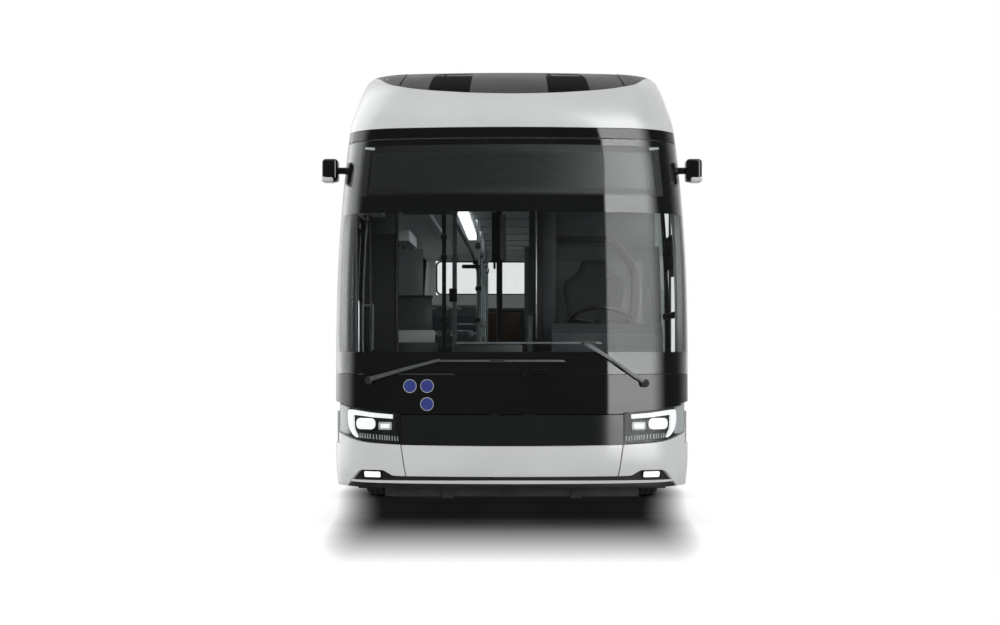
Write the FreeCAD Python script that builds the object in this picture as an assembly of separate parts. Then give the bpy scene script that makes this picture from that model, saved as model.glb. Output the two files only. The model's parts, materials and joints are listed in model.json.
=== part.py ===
# Low-floor city bus, millimetres, +Z up, -Y is the front, +X is the driver's side.
# The origin is on the ground under the middle of the bus.
import FreeCAD, Part
import os
from math import cos, hypot, pi, radians, sin, sqrt

V = FreeCAD.Vector

# Overall size
length = 12000.0
width = 2550.0
sill_z = 280.0
skirt_top_z = 616.0
cant_z = 2850.0
roof_top_z = 3310.0
wall = 60.0
cover_wall = 40.0
glass_wall = 10.0
seam = 0.6
fit = 0.3
run_gap = 6.0

half_l = length / 2
half_w = width / 2
wiper_reach = 37.0
front_y = -half_l + wiper_reach
rear_y = half_l

# Outer skin: height, front set-back, rear set-back and side set-back at each station
skin_stations = [
    (sill_z, 48.0, 42.0, 12.0),
    (420.0, 10.0, 8.0, 3.0),
    (600.0, 0.0, 0.0, 0.0),
    (1100.0, 4.0, 0.0, 0.0),
    (1400.0, 20.0, 2.0, 0.0),
    (1900.0, 65.0, 15.0, 10.4),
    (2400.0, 120.0, 45.0, 41.7),
    (2790.0, 175.0, 95.0, 80.5),
    (2900.0, 210.0, 120.0, 95.0),
    (3050.0, 310.0, 170.0, 135.0),
    (3170.0, 450.0, 228.0, 163.0),
    (3260.0, 640.0, 288.0, 184.0),
    (roof_top_z, 820.0, 320.0, 195.0),
]
front_bow_r = 4200.0
front_corner_r = 430.0
rear_bow_r = 9000.0
rear_corner_r = 220.0

# Front, from the bumper up
bumper_top_z = 580.0
lamp_top_z = 870.0
flap_top_z = 802.0
screen_base_z = 1082.0
screen_top_z = 2745.0
cap_base_z = 2825.0
lamp_inner_x = 785.0
lamp_back = 155.0
lamp_depth = 130.0
hinge_r = 4.0
hinge_w = 60.0
flap_hinge_x = 120.0
flap_hinge_y = front_y + 1.6
flap_hinge_z = flap_top_z + seam - fit - hinge_r
mask_depth = 770.0
mask_y = front_y + mask_depth
cap_reach = 260.0
cap_y = mask_y + cap_reach
clear_low_z = 1235.0
clear_high_z = 2215.0
clear_half_x = 1130.0
post_w = 120.0
sign_half_x = 980.0
sign_low_z = 2330.0
sign_high_z = 2640.0
sign_depth = 90.0
bumper_split_x = 760.0
smile_low_z = 3085.0
smile_half_x = 1040.0
smile_tip_z = roof_top_z - 12
smile_sag = 75.0
visor_inset = 14.0
wiper_low_z = 1170.0
wiper_high_z = 1300.0
wiper_arm_w = 26.0
blade_h = 22.0
arm_out = 46.0
arm_in = 30.0
camera_z = 2470.0
camera_h = 170.0
camera_out_x = 1384.0
camera_w = 120.0
camera_l = 170.0
camera_y = front_y + 520.0

# Axles and wheels
front_overhang = 2750.0
wheelbase = 5950.0
front_axle_y = front_y + front_overhang
rear_axle_y = front_axle_y + wheelbase
tyre_r = 479.0
tyre_w = 276.0
rim_r = 286.0
rim_w = 230.0
front_track = 2214.0
rear_outer_x = 1107.0
twin_pitch = 310.0
arch_r = 560.0
kingpin_x = 930.0
kingpin_r = 22.0
steer_arm = 200.0
rod_z = 250.0
rod_r = 16.0

# Floor and wheel boxes
floor_top_z = 340.0
floor_t = 30.0
platform_z = 700.0
platform_y = 3330.0
box_t = 10.0
floor_set_back = 330.0
front_box_half = 600.0
front_box_in_x = 440.0
front_box_top = 1090.0
rear_box_half = 545.0
rear_box_in_x = 440.0
rear_box_top = 1070.0

# Doors: two inward gliding leaves at each doorway on the -X side
leaf_w = 560.0
leaf_t = 42.0
door_gap = 20.0
leaf_meet = 10.0
door_top_z = 2282.0
leaf_low_z = 375.0
leaf_high_z = 2277.0
leaf_rim = 62.0
post_depth = 120.0
post_r = 18.0
post_to_leaf = 55.0
post_pin_r = 12.0
arm_eye_r = 16.0
lug_h = 30.0
lug_half = 15.0
light_r = 40.0
light_foot = 75.0
light_head = 70.0
leaf_pane_inset = 8.0
gear_reach = 85.0
gear_h = 110.0
post_top_z = 2320.0
arm_w = 26.0
arm_t = 20.0
arm_low_z = 348.0
arm_high_z = 2290.0
pin_r = 8.0
pin_clear = 0.5
portal_w = 2 * leaf_w + 2 * door_gap + leaf_meet
arm_r = leaf_w / 2 + post_to_leaf
front_door_y = mask_y + seam
middle_door_y = -portal_w / 2
door_x = -(half_w - post_depth)

# Running gear
beam_low_z = 195.0
beam_high_z = 300.0
beam_half_y = 48.0
neck_half = 55.0
lug_gap = 2.0
lug_t = 30.0
spindle_r = 45.0
spindle_clear = 1.0
front_dish = 120.0
disc_t = 12.0
hub_r = 100.0
portal_spindle_r = 61.0
portal_out_x = 640.0
spring_x = 550.0
spring_r = 80.0
piston_r = 50.0
tie_pin_r = 8.0
tie_eye_r = 20.0
rear_spring_y = 330.0
rear_spring_z = 450.0
hand_hole_r = 23.0
hand_hole_at = 222.0
hand_holes = 8

# Towing socket and frame
towing_y = front_y + 60.0
towing_z = 720.0
towing_boss_r = 45.0
towing_bore_r = 18.0
towing_bore_l = 120.0
cross_x = 1150.0
end_cross_x = 900.0
rail_x = 460.0
rail_w = 70.0
rail_low_z = 200.0
rung_half = 40.0
axle_bay = 330.0
unit_half_x = 640.0

# Cab and saloon
cab_x = 150.0
cab_panel_t = 30.0
cab_front_y = -5300.0
cab_rear_y = -3960.0
podium_z = 620.0
cab_door_top_z = 1500.0
cab_door_y = -4700.0
cab_hinge_r = 7.7
dash_y = -5500.0
dash_low_z = 880.0
dash_top_z = 1060.0
bulkhead_x = 1080.0
wheel_x = 660.0
wheel_y = -4930.0
wheel_z = 1450.0
wheel_tilt = 30.0
wheel_ring_r = 225.0
seat_w = 880.0
seat_in_x = 320.0
seat_pitch = 780.0
bench_x = 1000.0
rail_tube_r = 17.0
rail_tube_x = 290.0
rail_tube_z = 2250.0

# Windows
window_low_z = 1120.0
window_high_z = 2480.0
window_r = 70.0
pane_inset = 4.0
rear_glass_low_z = 1950.0
rear_glass_high_z = 2420.0
rear_glass_half_x = 1060.0
bay_post = 80.0
bay_l = 1480.0
door_bay_post = 110.0

# Rear
tail_y = rear_y - 330.0
lid_low_z = 660.0
lid_high_z = 1600.0
lid_half_x = 880.0
lid_hinge_x = 180.0
lid_hinge_y = rear_y - 6.5
lid_hinge_z = lid_high_z - fit - hinge_r
tail_lamp_r = 45.0
tail_lamp_t = 12.0
tail_lamp_zs = (900.0, 1030.0, 1160.0)
tail_lamp_x = lid_half_x + 170

# Roof equipment
fairing_in_x = 800.0
pack_half_x = 760.0
pack_l = 1800.0
pack_h = 300.0
pack_ys = (-4300.0, -2300.0, -300.0)
climate_y = 1800.0
climate_l = 2400.0
climate_h = 390.0
fan_r = 240.0
fan_sink = 30.0
fan_x = 380.0
fan_ys = (2450.0, 3500.0)

# Margin that takes a cutter or a region well past the body
past = 50.0


def box(x0, x1, y0, y1, z0, z1):
    return Part.makeBox(x1 - x0, y1 - y0, z1 - z0, V(x0, y0, z0))


def cyl(r, h, base, axis):
    return Part.makeCylinder(r, h, base, axis)


def mirrored(shape):
    return shape.mirror(V(0, 0, 0), V(1, 0, 0))


def prism(points, direction):
    wire = Part.makePolygon(points + [points[0]])
    return Part.Face(wire).extrude(direction)


def side_prism(yz, x0, x1):
    return prism([V(x0, y, z) for y, z in yz], V(x1 - x0, 0, 0))


def face_prism(xz, y0, y1):
    return prism([V(x, y0, z) for x, z in xz], V(0, y1 - y0, 0))


def plan_prism(xy, z0, z1):
    return prism([V(x, y, z0) for x, y in xy], V(0, 0, z1 - z0))


def fused(shapes):
    first = shapes[0]
    return first.fuse(shapes[1:]).removeSplitter() if len(shapes) > 1 else first


def cut_all(shape, tools):
    for tool in tools:
        shape = shape.cut(tool)
    return shape


def compound(shapes):
    return Part.makeCompound([s for shape in shapes for s in shape.Solids])


def tube(points, r):
    # Straight runs with a ball at each inner corner
    parts = []
    for a, b in zip(points, points[1:]):
        run = b.sub(a)
        parts.append(Part.makeCylinder(r, run.Length, a, run))
    for p in points[1:-1]:
        parts.append(Part.makeSphere(r, p))
    return fused(parts)


def corner(half_width, reach, bow_r, corner_r, inset, sense):
    # Tangent points of one rounded corner of the plan outline, seen from above
    centre_x = half_width - corner_r
    centre_y = reach + sense * (bow_r - sqrt((bow_r - corner_r) ** 2 - centre_x ** 2))
    bow_y = reach + sense * bow_r
    span = hypot(centre_x, centre_y - bow_y)
    ux, uy = centre_x / span, (centre_y - bow_y) / span
    r = corner_r - inset
    tangent = (centre_x + ux * r, centre_y + uy * r)
    diagonal = hypot(ux + 1, uy)
    middle = (centre_x + (ux + 1) / diagonal * r, centre_y + uy / diagonal * r)
    side = (half_width - inset, centre_y)
    return tangent, middle, side, (0.0, reach + sense * inset)


def outline(station, inset):
    z, front_back, rear_back, side_back = station
    w = half_w - side_back
    tf, mf, sf, cf = corner(w, front_y + front_back, front_bow_r, front_corner_r, inset, 1)
    tr, mr, sr, cr = corner(w, rear_y - rear_back, rear_bow_r, rear_corner_r, inset, -1)

    def at(p, side=1):
        return V(side * p[0], p[1], z)

    edges = [
        Part.Arc(at(tf, -1), at(cf), at(tf)).toShape(),
        Part.Arc(at(tf), at(mf), at(sf)).toShape(),
        Part.makeLine(at(sf), at(sr)),
        Part.Arc(at(sr), at(mr), at(tr)).toShape(),
        Part.Arc(at(tr), at(cr), at(tr, -1)).toShape(),
        Part.Arc(at(tr, -1), at(mr, -1), at(sr, -1)).toShape(),
        Part.makeLine(at(sr, -1), at(sf, -1)),
        Part.Arc(at(sf, -1), at(mf, -1), at(tf, -1)).toShape(),
    ]
    return Part.Wire(edges)


skin_cache = {}


def skin(inset):
    # The whole body's outer form, moved inwards by inset
    if inset not in skin_cache:
        skin_cache[inset] = Part.makeLoft([outline(s, inset) for s in skin_stations], True, False)
    return skin_cache[inset]


def side_back(z):
    # Side set-back of the skin at a height, between stations
    for a, b in zip(skin_stations, skin_stations[1:]):
        if z <= b[0]:
            return a[3] + (b[3] - a[3]) * (z - a[0]) / (b[0] - a[0])
    return skin_stations[-1][3]


def shell(region, outer, inner):
    # The part of the body's skin between two insets that lies in a region
    return skin(outer).common(region).cut(skin(inner))


def front_region(y1, z0, z1):
    return box(-half_w - past, half_w + past, front_y - past, y1, z0, z1)


def rear_region(z0, z1):
    return box(-half_w - past, half_w + past, tail_y, rear_y + past, z0, z1)


def rear_middle(reach, z0, z1):
    return box(-reach, reach, tail_y + 2 * past, rear_y + past, z0, z1)


def side_span(side):
    # The two x planes that take in one side wall
    return (half_w - 5 * past, half_w + past) if side > 0 else (-half_w - past, -half_w + 5 * past)


def arch_cutter(y, x0, x1):
    return cyl(arch_r, x1 - x0, V(x0, y, tyre_r), V(1, 0, 0)).fuse(
        box(x0, x1, y - arch_r, y + arch_r, sill_z - past, tyre_r)
    )


def portal_cutter(y0):
    return box(-half_w - past, -half_w + 5 * past, y0, y0 + portal_w, floor_top_z, door_top_z)


def rounded_window(y0, y1, z0, z1, r, x0, x1):
    body = box(x0, x1, y0, y1, z0, z1)
    edges = [e for e in body.Edges if abs(e.Vertexes[0].X - e.Vertexes[1].X) > 1]
    return body.makeFillet(r, edges)


# Window bays along each side, as start and end
def left_bays():
    first_end = front_axle_y + 690
    bays = [(mask_y + 90, first_end)]
    for k in range(4):
        start = first_end + bay_post + k * (bay_l + bay_post)
        bays.append((start, start + bay_l))
    return bays + [(bays[-1][1] + bay_post, tail_y - 120)]


def right_bays():
    door_end = front_door_y + portal_w
    middle_end = middle_door_y + portal_w
    return [
        (door_end + door_bay_post, middle_door_y - 1500),
        (middle_door_y - 1500 + bay_post, middle_door_y - door_bay_post),
        (middle_end + door_bay_post, middle_end + 1750),
        (middle_end + 1750 + bay_post, middle_end + 3480),
        (middle_end + 3480 + bay_post, tail_y - 120),
    ]


def bay_cutters(bays, side):
    x0, x1 = side_span(side)
    return [rounded_window(a, b, window_low_z, window_high_z, window_r, x0, x1) for a, b in bays]


def side_walls():
    # Upper side walls from skirt to cant rail, with the window and door openings
    region = box(0, half_w + past, mask_y + seam, tail_y - seam, skirt_top_z + seam, cant_z)
    left = shell(region, 0, wall)
    left = cut_all(left, bay_cutters(left_bays(), 1) + [
        arch_cutter(front_axle_y, half_w - 5 * past, half_w + past),
        arch_cutter(rear_axle_y, half_w - 5 * past, half_w + past)])
    right = shell(mirrored(region), 0, wall)
    right = cut_all(right, bay_cutters(right_bays(), -1) + [
        arch_cutter(front_axle_y, -half_w - past, -half_w + 5 * past),
        arch_cutter(rear_axle_y, -half_w - past, -half_w + 5 * past),
        portal_cutter(front_door_y), portal_cutter(middle_door_y)])
    return left, right


def skirts():
    region = box(0, half_w + past, mask_y + seam, tail_y - seam, sill_z, skirt_top_z)
    cutters = [arch_cutter(front_axle_y, half_w - 5 * past, half_w + past),
               arch_cutter(rear_axle_y, half_w - 5 * past, half_w + past)]
    left = cut_all(shell(region, 0, wall), cutters)
    right = cut_all(shell(mirrored(region), 0, wall),
                    [mirrored(c) for c in cutters]
                    + [portal_cutter(front_door_y), portal_cutter(middle_door_y)])
    return compound([left, right])


def side_windows():
    panes = []
    for side, bays in ((1, left_bays()), (-1, right_bays())):
        for a, b in bays:
            x0, x1 = side_span(side)
            tool = rounded_window(a + fit, b - fit, window_low_z + fit, window_high_z - fit,
                                  window_r - fit, x0, x1)
            panes.append(shell(tool, pane_inset, pane_inset + glass_wall))
    return compound(panes)


def roof():
    # Flat roof deck between the walls, under the roof equipment
    region = box(-half_w, half_w, mask_y + seam, tail_y - seam, cant_z - wall, cant_z - fit)
    return skin(wall + fit).common(region)


def roof_fairings():
    region = box(-half_w, half_w, cap_y + seam, tail_y - seam, cant_z + seam, roof_top_z)
    ring = shell(region, 0, cover_wall)
    return ring.cut(box(-fairing_in_x, fairing_in_x, mask_y, tail_y, cant_z, roof_top_z + past))


def smile(grow):
    # Prism over the sagging upper edge of the front cap
    low = smile_low_z - grow
    tip = smile_half_x + grow
    shoulder = smile_half_x * 0.8 + grow
    bend = low + smile_sag
    curve = Part.BSplineCurve()
    curve.interpolate([V(-tip, 0, smile_tip_z), V(-shoulder, 0, bend), V(0, 0, low),
                       V(shoulder, 0, bend), V(tip, 0, smile_tip_z)])
    top = roof_top_z + past
    wire = Part.Wire([curve.toShape(), Part.makeLine(V(tip, 0, smile_tip_z), V(tip, 0, top)),
                      Part.makeLine(V(tip, 0, top), V(-tip, 0, top)),
                      Part.makeLine(V(-tip, 0, top), V(-tip, 0, smile_tip_z))])
    face = Part.Face(wire)
    face.translate(V(0, front_y - past, 0))
    return face.extrude(V(0, cap_y - front_y + 2 * past, 0))


def front_cap():
    # Brow over the glass; above the side walls it runs back to the fairings
    brow = front_region(mask_y, cap_base_z, cant_z + seam)
    crown = front_region(cap_y, cant_z + seam, roof_top_z)
    return shell(brow.fuse(crown), 0, wall).cut(smile(0))


def roof_visor():
    region = box(-half_w, half_w, front_y, cap_y, smile_low_z - 60, roof_top_z)
    return shell(region, visor_inset, visor_inset + cover_wall).common(smile(-fit))


def windscreen():
    region = front_region(mask_y - post_w, screen_base_z + seam, screen_top_z)
    return shell(region, 0, glass_wall)


def screen_frame():
    # Black surround behind the glass: pillars, header with the sign box and the lower band
    region = box(-half_w, half_w, front_y, mask_y - post_w, screen_base_z + seam, screen_top_z)
    ring = shell(region, glass_wall + fit, wall)
    clear = box(-clear_half_x, clear_half_x, front_y - past, mask_y, clear_low_z, clear_high_z)
    sign = box(-sign_half_x - fit, sign_half_x + fit, front_y, mask_y, sign_low_z - fit, sign_high_z + fit)
    return cut_all(ring, [clear, sign])


def destination_sign():
    region = box(-sign_half_x, sign_half_x, front_y, mask_y, sign_low_z, sign_high_z)
    return shell(region, glass_wall + fit, glass_wall + sign_depth)


def head_band():
    # Black band between the glass and the cap
    region = front_region(mask_y, screen_top_z + seam, cap_base_z - seam)
    return shell(region, 0, wall)


def front_panel():
    # Black panel from the lamps up to the glass
    region = front_region(mask_y, flap_top_z + seam, screen_base_z)
    form = shell(region, 0, wall)
    notch = box(lamp_inner_x - seam, half_w + past, front_y - past, mask_y - lamp_back,
                flap_top_z, lamp_top_z + seam)
    return cut_all(form, [notch, mirrored(notch)])


def front_flap():
    reach = lamp_inner_x - run_gap
    region = box(-reach, reach, front_y - past, mask_y, bumper_top_z + run_gap, flap_top_z - run_gap + seam)
    flap = shell(region, 0, cover_wall)
    barrels = [barrel(side * flap_hinge_x, flap_hinge_y, flap_hinge_z) for side in (-1, 1)]
    return flap.fuse(barrels)


def barrel(x, y, z):
    # Hinge barrel that just clears the fixed edge beside it
    return cyl(hinge_r, hinge_w, V(x - hinge_w / 2, y, z), V(1, 0, 0))


def headlamps():
    region = box(lamp_inner_x, half_w + past, front_y - past, mask_y - lamp_back - seam,
                 bumper_top_z + seam, lamp_top_z)
    lamp = shell(region, fit, lamp_depth)
    return compound([lamp, mirrored(lamp)])


def front_bumper():
    region = front_region(mask_y, sill_z, bumper_top_z)
    form = shell(region, 0, wall)
    slit = box(bumper_split_x, bumper_split_x + seam, front_y - past, mask_y, sill_z, bumper_top_z)
    return compound([cut_all(form, [slit, mirrored(slit)])])


def corner_posts():
    # White body corner between the glass edge and the side wall, and the piece beside the lamp
    high = box(0, half_w + past, mask_y - post_w + seam, mask_y, screen_base_z + seam, screen_top_z)
    low = box(half_w - 200, half_w + past, mask_y - lamp_back, mask_y, bumper_top_z + seam, flap_top_z)
    post = shell(high, 0, wall)
    side = shell(low, 0, wall)
    return compound([post, mirrored(post), side, mirrored(side)])


def rear_wall():
    region = rear_region(skirt_top_z + seam, cant_z)
    form = shell(region, 0, wall)
    window = rear_middle(rear_glass_half_x, rear_glass_low_z, rear_glass_high_z)
    lid = rear_middle(lid_half_x, lid_low_z, lid_high_z)
    return cut_all(form, [window, lid])


def rear_window():
    reach = rear_glass_half_x - fit
    region = rear_middle(reach, rear_glass_low_z + fit, rear_glass_high_z - fit)
    return shell(region, pane_inset, pane_inset + glass_wall)


def rear_lid():
    reach = lid_half_x - run_gap
    region = rear_middle(reach, lid_low_z + run_gap, lid_high_z - run_gap)
    lid = shell(region, 0, cover_wall)
    barrels = [barrel(side * lid_hinge_x, lid_hinge_y, lid_hinge_z) for side in (-1, 1)]
    return lid.fuse(barrels)


def rear_bumper():
    region = rear_region(sill_z, skirt_top_z)
    return shell(region, 0, wall)


def rear_cap():
    # Closes the roof equipment at the back
    region = box(-half_w, half_w, tail_y, rear_y, cant_z + seam, roof_top_z)
    return shell(region, 0, cover_wall)


def tail_lamps():
    lamps = []
    for side in (-1, 1):
        for z in tail_lamp_zs:
            lamps.append(cyl(tail_lamp_r, 400, V(side * tail_lamp_x, tail_y + 150, z), V(0, 1, 0)))
    form = skin(-tail_lamp_t).cut(skin(-fit))
    return compound([form.common(lamp) for lamp in lamps])


def rail(side, y0, y1):
    x = side * rail_x
    return box(x - rail_w / 2, x + rail_w / 2, y0, y1, rail_low_z, floor_top_z - floor_t)


def rung(y, reach):
    return box(-reach, reach, y - rung_half, y + rung_half, rail_low_z + 10, floor_top_z - floor_t)


def towing_boss():
    # Upright with a towing socket behind the front flap
    upright = box(-60, 60, towing_y + 120, towing_y + 200, floor_top_z - floor_t - 10, towing_z + 50)
    boss = cyl(towing_boss_r, 150, V(0, towing_y, towing_z), V(0, 1, 0))
    bore = cyl(towing_bore_r, towing_bore_l, V(0, towing_y, towing_z), V(0, 1, 0))
    return upright.fuse(boss).cut(bore)


def chassis_frame():
    # Ladder in three lengths, open where the axles and the track rod work
    parts = []
    front_end, rear_end = front_y + 230, rear_y - 200
    clear = front_box_half + rung_half
    stretches = [
        (front_end, front_axle_y - axle_bay, [-5000.0, front_axle_y - clear]),
        (front_axle_y + axle_bay, rear_axle_y - axle_bay,
         [front_axle_y + clear, -1300.0, 0.0, 1100.0, rear_axle_y - clear]),
        (rear_axle_y + axle_bay, rear_end, [rear_axle_y + clear, 4500.0]),
    ]
    for y0, y1, rungs in stretches:
        piece = [rail(-1, y0, y1), rail(1, y0, y1)]
        piece += [rung(y, cross_x) for y in rungs]
        piece += [rung(y, end_cross_x) for y in (front_end + 60, rear_end - 60) if y0 < y < y1]
        parts.append(fused(piece))
    parts[0] = parts[0].fuse(towing_boss()).removeSplitter()
    return compound(parts)


def floor_panels():
    low_z = floor_top_z - floor_t + fit
    plate = box(-half_w, half_w, front_y + floor_set_back, platform_y, low_z, floor_top_z)
    raised = box(-half_w, half_w, platform_y + floor_t, rear_y, platform_z - floor_t, platform_z)
    riser = box(-half_w, half_w, platform_y, platform_y + floor_t, low_z, platform_z)
    holes = []
    bays = ((front_axle_y, front_box_half, front_box_in_x), (rear_axle_y, rear_box_half, rear_box_in_x))
    for y, half, in_x in bays:
        hole = box(in_x, half_w, y - half, y + half, 0, platform_z)
        holes += [hole, mirrored(hole)]
    inside = skin(wall + fit)
    return [cut_all(inside.common(piece), holes) for piece in (plate, raised, riser)]


def wheel_box(y, half, in_x, top):
    base = floor_top_z - floor_t + fit
    outer = box(in_x + fit, half_w, y - half + fit, y + half - fit, base, top)
    inner = box(in_x + box_t, half_w, y - half + box_t, y + half - box_t, base - 50, top - box_t)
    return skin(wall + fit).common(outer).cut(inner)


def wheel_boxes():
    front = wheel_box(front_axle_y, front_box_half, front_box_in_x, front_box_top)
    rear = wheel_box(rear_axle_y, rear_box_half, rear_box_in_x, rear_box_top)
    return compound([front, mirrored(front), rear, mirrored(rear)])


def turned(points, x, y, side):
    # Ring round the wheel axis from (outboard, radius) points
    wire = Part.makePolygon([V(x + side * a, y, tyre_r + r) for a, r in points + [points[0]]])
    return Part.Face(wire).revolve(V(x, y, tyre_r), V(1, 0, 0), 360)


def tyre(x, y):
    # Bead, bulging wall, shoulder and crown, hollow inside
    h = tyre_w / 2
    half = [(h - 34, rim_r), (h - 12, rim_r + 30), (h, rim_r + 90),
            (h - 6, tyre_r - 45), (h - 30, tyre_r - 6)]
    inner = [(h - 22, tyre_r - 50), (h - 14, rim_r + 90), (h - 30, rim_r + 34), (h - 52, rim_r)]
    other = [(-a, r) for a, r in half]
    other_in = [(-a, r) for a, r in inner]
    ring = half + [(0, tyre_r)] + other[::-1] + other_in[::-1] + [(0, tyre_r - 28)] + inner
    return turned(ring, x, y, 1)


def rim(x, y, side, dish):
    # Barrel, coned disc with hand holes, disc face at dish outboard of the middle
    h = rim_w / 2
    r = rim_r - fit
    barrel_ring = turned([(-h, r), (h, r), (h, r - disc_t), (-h, r - disc_t)], x, y, side)
    a0, a1 = dish - disc_t / 2, dish + disc_t / 2
    cone = [(h - 55, r - 5), (h - 25, r - 5), (a1, 190), (a1, hub_r - 5), (a0, hub_r - 5), (a0, 184)]
    disc = turned(cone, x, y, side)
    holes = []
    for k in range(hand_holes):
        a = 2 * pi * (k + 0.5) / hand_holes
        hole_y, hole_z = y + hand_hole_at * cos(a), tyre_r + hand_hole_at * sin(a)
        holes.append(along_x(hand_hole_r, x + side * 20, x + side * 180, hole_y, hole_z))
    return barrel_ring.fuse(cut_all(disc, holes))


def along_x(r, x0, x1, y, z):
    return cyl(r, abs(x1 - x0), V(min(x0, x1), y, z), V(1, 0, 0))


def front_rim(side):
    x = side * front_track / 2
    hub = along_x(hub_r, x - side * 30, x + side * (front_dish + 45), front_axle_y, tyre_r)
    bore = along_x(spindle_r + spindle_clear, x - side * 40, x + side * 60, front_axle_y, tyre_r)
    return rim(x, front_axle_y, side, front_dish).fuse(hub).cut(bore)


def front_tyre(side):
    return tyre(side * front_track / 2, front_axle_y)


def rear_rims(side):
    inner_x = rear_outer_x - twin_pitch
    dish = twin_pitch / 2 - disc_t / 2
    outer = rim(side * rear_outer_x, rear_axle_y, -side, dish)
    inner = rim(side * inner_x, rear_axle_y, side, dish)
    face_x = side * (rear_outer_x - twin_pitch / 2)
    hub = along_x(hub_r, face_x - side * 90, face_x + side * 180, rear_axle_y, tyre_r)
    bore_r = portal_spindle_r + spindle_clear
    bore = along_x(bore_r, face_x - side * 100, face_x + side * 120, rear_axle_y, tyre_r)
    return fused([outer, inner, hub]).cut(bore)


def rear_tyres(side):
    inner_x = rear_outer_x - twin_pitch
    return compound([tyre(side * rear_outer_x, rear_axle_y), tyre(side * inner_x, rear_axle_y)])


def front_axle():
    # Dropped beam below the aisle, rising inside the wheel boxes to the kingpin eyes
    low, high = tyre_r - neck_half, tyre_r + neck_half
    foot = front_box_in_x + 16
    half = [(0, beam_low_z), (foot + 44, beam_low_z), (foot + 200, low), (kingpin_x, low),
            (kingpin_x, high), (foot + 24, high), (foot, beam_high_z), (0, beam_high_z)]
    right = [(-x, z) for x, z in half[::-1]]
    y0, y1 = front_axle_y - beam_half_y, front_axle_y + beam_half_y
    beam = face_prism(half, y0, y1).fuse(face_prism(right, y0, y1))
    eyes = [cyl(50, 2 * neck_half, V(side * kingpin_x, front_axle_y, low), V(0, 0, 1)) for side in (-1, 1)]
    bores = [cyl(kingpin_r + pin_clear, 300, V(side * kingpin_x, front_axle_y, low - 50), V(0, 0, 1))
             for side in (-1, 1)]
    return cut_all(beam.fuse(eyes).removeSplitter(), bores)


def knuckle(side):
    low, high = tyre_r - neck_half - lug_gap, tyre_r + neck_half + lug_gap
    y = front_axle_y
    x = side * kingpin_x

    def bar(a0, a1, b0, b1, z0, z1):
        return box(min(side * a0, side * a1), max(side * a0, side * a1), y + b0, y + b1, z0, z1)

    k = kingpin_x
    pieces = [
        cyl(45, lug_t, V(x, y, high), V(0, 0, 1)),
        cyl(45, lug_t, V(x, y, low - lug_t), V(0, 0, 1)),
        cyl(kingpin_r, high - low + 2 * lug_t, V(x, y, low - lug_t), V(0, 0, 1)),
        bar(k, k + 60, -40, 40, high, high + lug_t),
        bar(k, k + 60, -40, 40, low - lug_t, low),
        bar(k + 56, k + 80, -45, 45, low - lug_t, high + lug_t),
        along_x(spindle_r, side * (k + 70), side * (front_track / 2 + 50), y, tyre_r),
        bar(k - 22, k + 22, 0, steer_arm, low - lug_t, low - 5),
        cyl(tie_eye_r - 2, low - 5 - rod_z - 20, V(x, y + steer_arm, rod_z + 20), V(0, 0, 1)),
        cyl(tie_pin_r, 40, V(x, y + steer_arm, rod_z - 16), V(0, 0, 1)),
    ]
    return fused(pieces)


def track_rod():
    y = front_axle_y + steer_arm
    rod = along_x(rod_r, -kingpin_x, kingpin_x, y, rod_z)
    eyes = [cyl(tie_eye_r, 28, V(side * kingpin_x, y, rod_z - 14), V(0, 0, 1)) for side in (-1, 1)]
    bores = [cyl(tie_pin_r + pin_clear, 80, V(side * kingpin_x, y, rod_z - 40), V(0, 0, 1))
             for side in (-1, 1)]
    return cut_all(fused([rod] + eyes), bores)


def rear_axle():
    # Portal axle: dropped beam, drop housings inside the wheel boxes, spindles and spring arms
    y = rear_axle_y
    foot = rear_box_in_x + 16
    beam = box(-foot - 60, foot + 60, y - 60, y + 60, beam_low_z, beam_high_z)
    parts = [beam]
    for side in (-1, 1):
        x0, x1 = sorted((side * foot, side * portal_out_x))
        parts.append(box(x0, x1, y - 110, y + 110, beam_low_z, tyre_r + 120))
        parts.append(along_x(portal_spindle_r, side * portal_out_x, side * (rear_outer_x - 47), y, tyre_r))
        parts.append(box(side * spring_x - 45, side * spring_x + 45, y - 400, y + 400, 400, 450))
    return fused(parts)


def air_springs():
    springs = []
    for side in (-1, 1):
        x = side * spring_x
        seats = [(front_axle_y, tyre_r + neck_half, front_box_top)]
        seats += [(rear_axle_y + dy, rear_spring_z, rear_box_top) for dy in (-rear_spring_y, rear_spring_y)]
        for y, low, top in seats:
            low += fit
            high = top - box_t - fit
            split = low + 0.3 * (high - low)
            piston = cyl(piston_r, split - low, V(x, y, low), V(0, 0, 1))
            bellows = cyl(spring_r, high - split, V(x, y, split), V(0, 0, 1))
            springs.append(piston.fuse(bellows))
    return compound(springs)


def power_unit():
    # Inverters and low-voltage gear under the rear platform
    return box(-unit_half_x, unit_half_x, platform_y + 300, rear_y - 700,
               floor_top_z - floor_t + fit, platform_z - floor_t - 20)


def leaf_places():
    # Each leaf: name, y of its hidden edge and the way it runs from there
    places = []
    for name, y0 in (("front", front_door_y), ("middle", middle_door_y)):
        places.append((name + "_a", y0 + door_gap, 1))
        places.append((name + "_b", y0 + portal_w - door_gap, -1))
    return places


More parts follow.
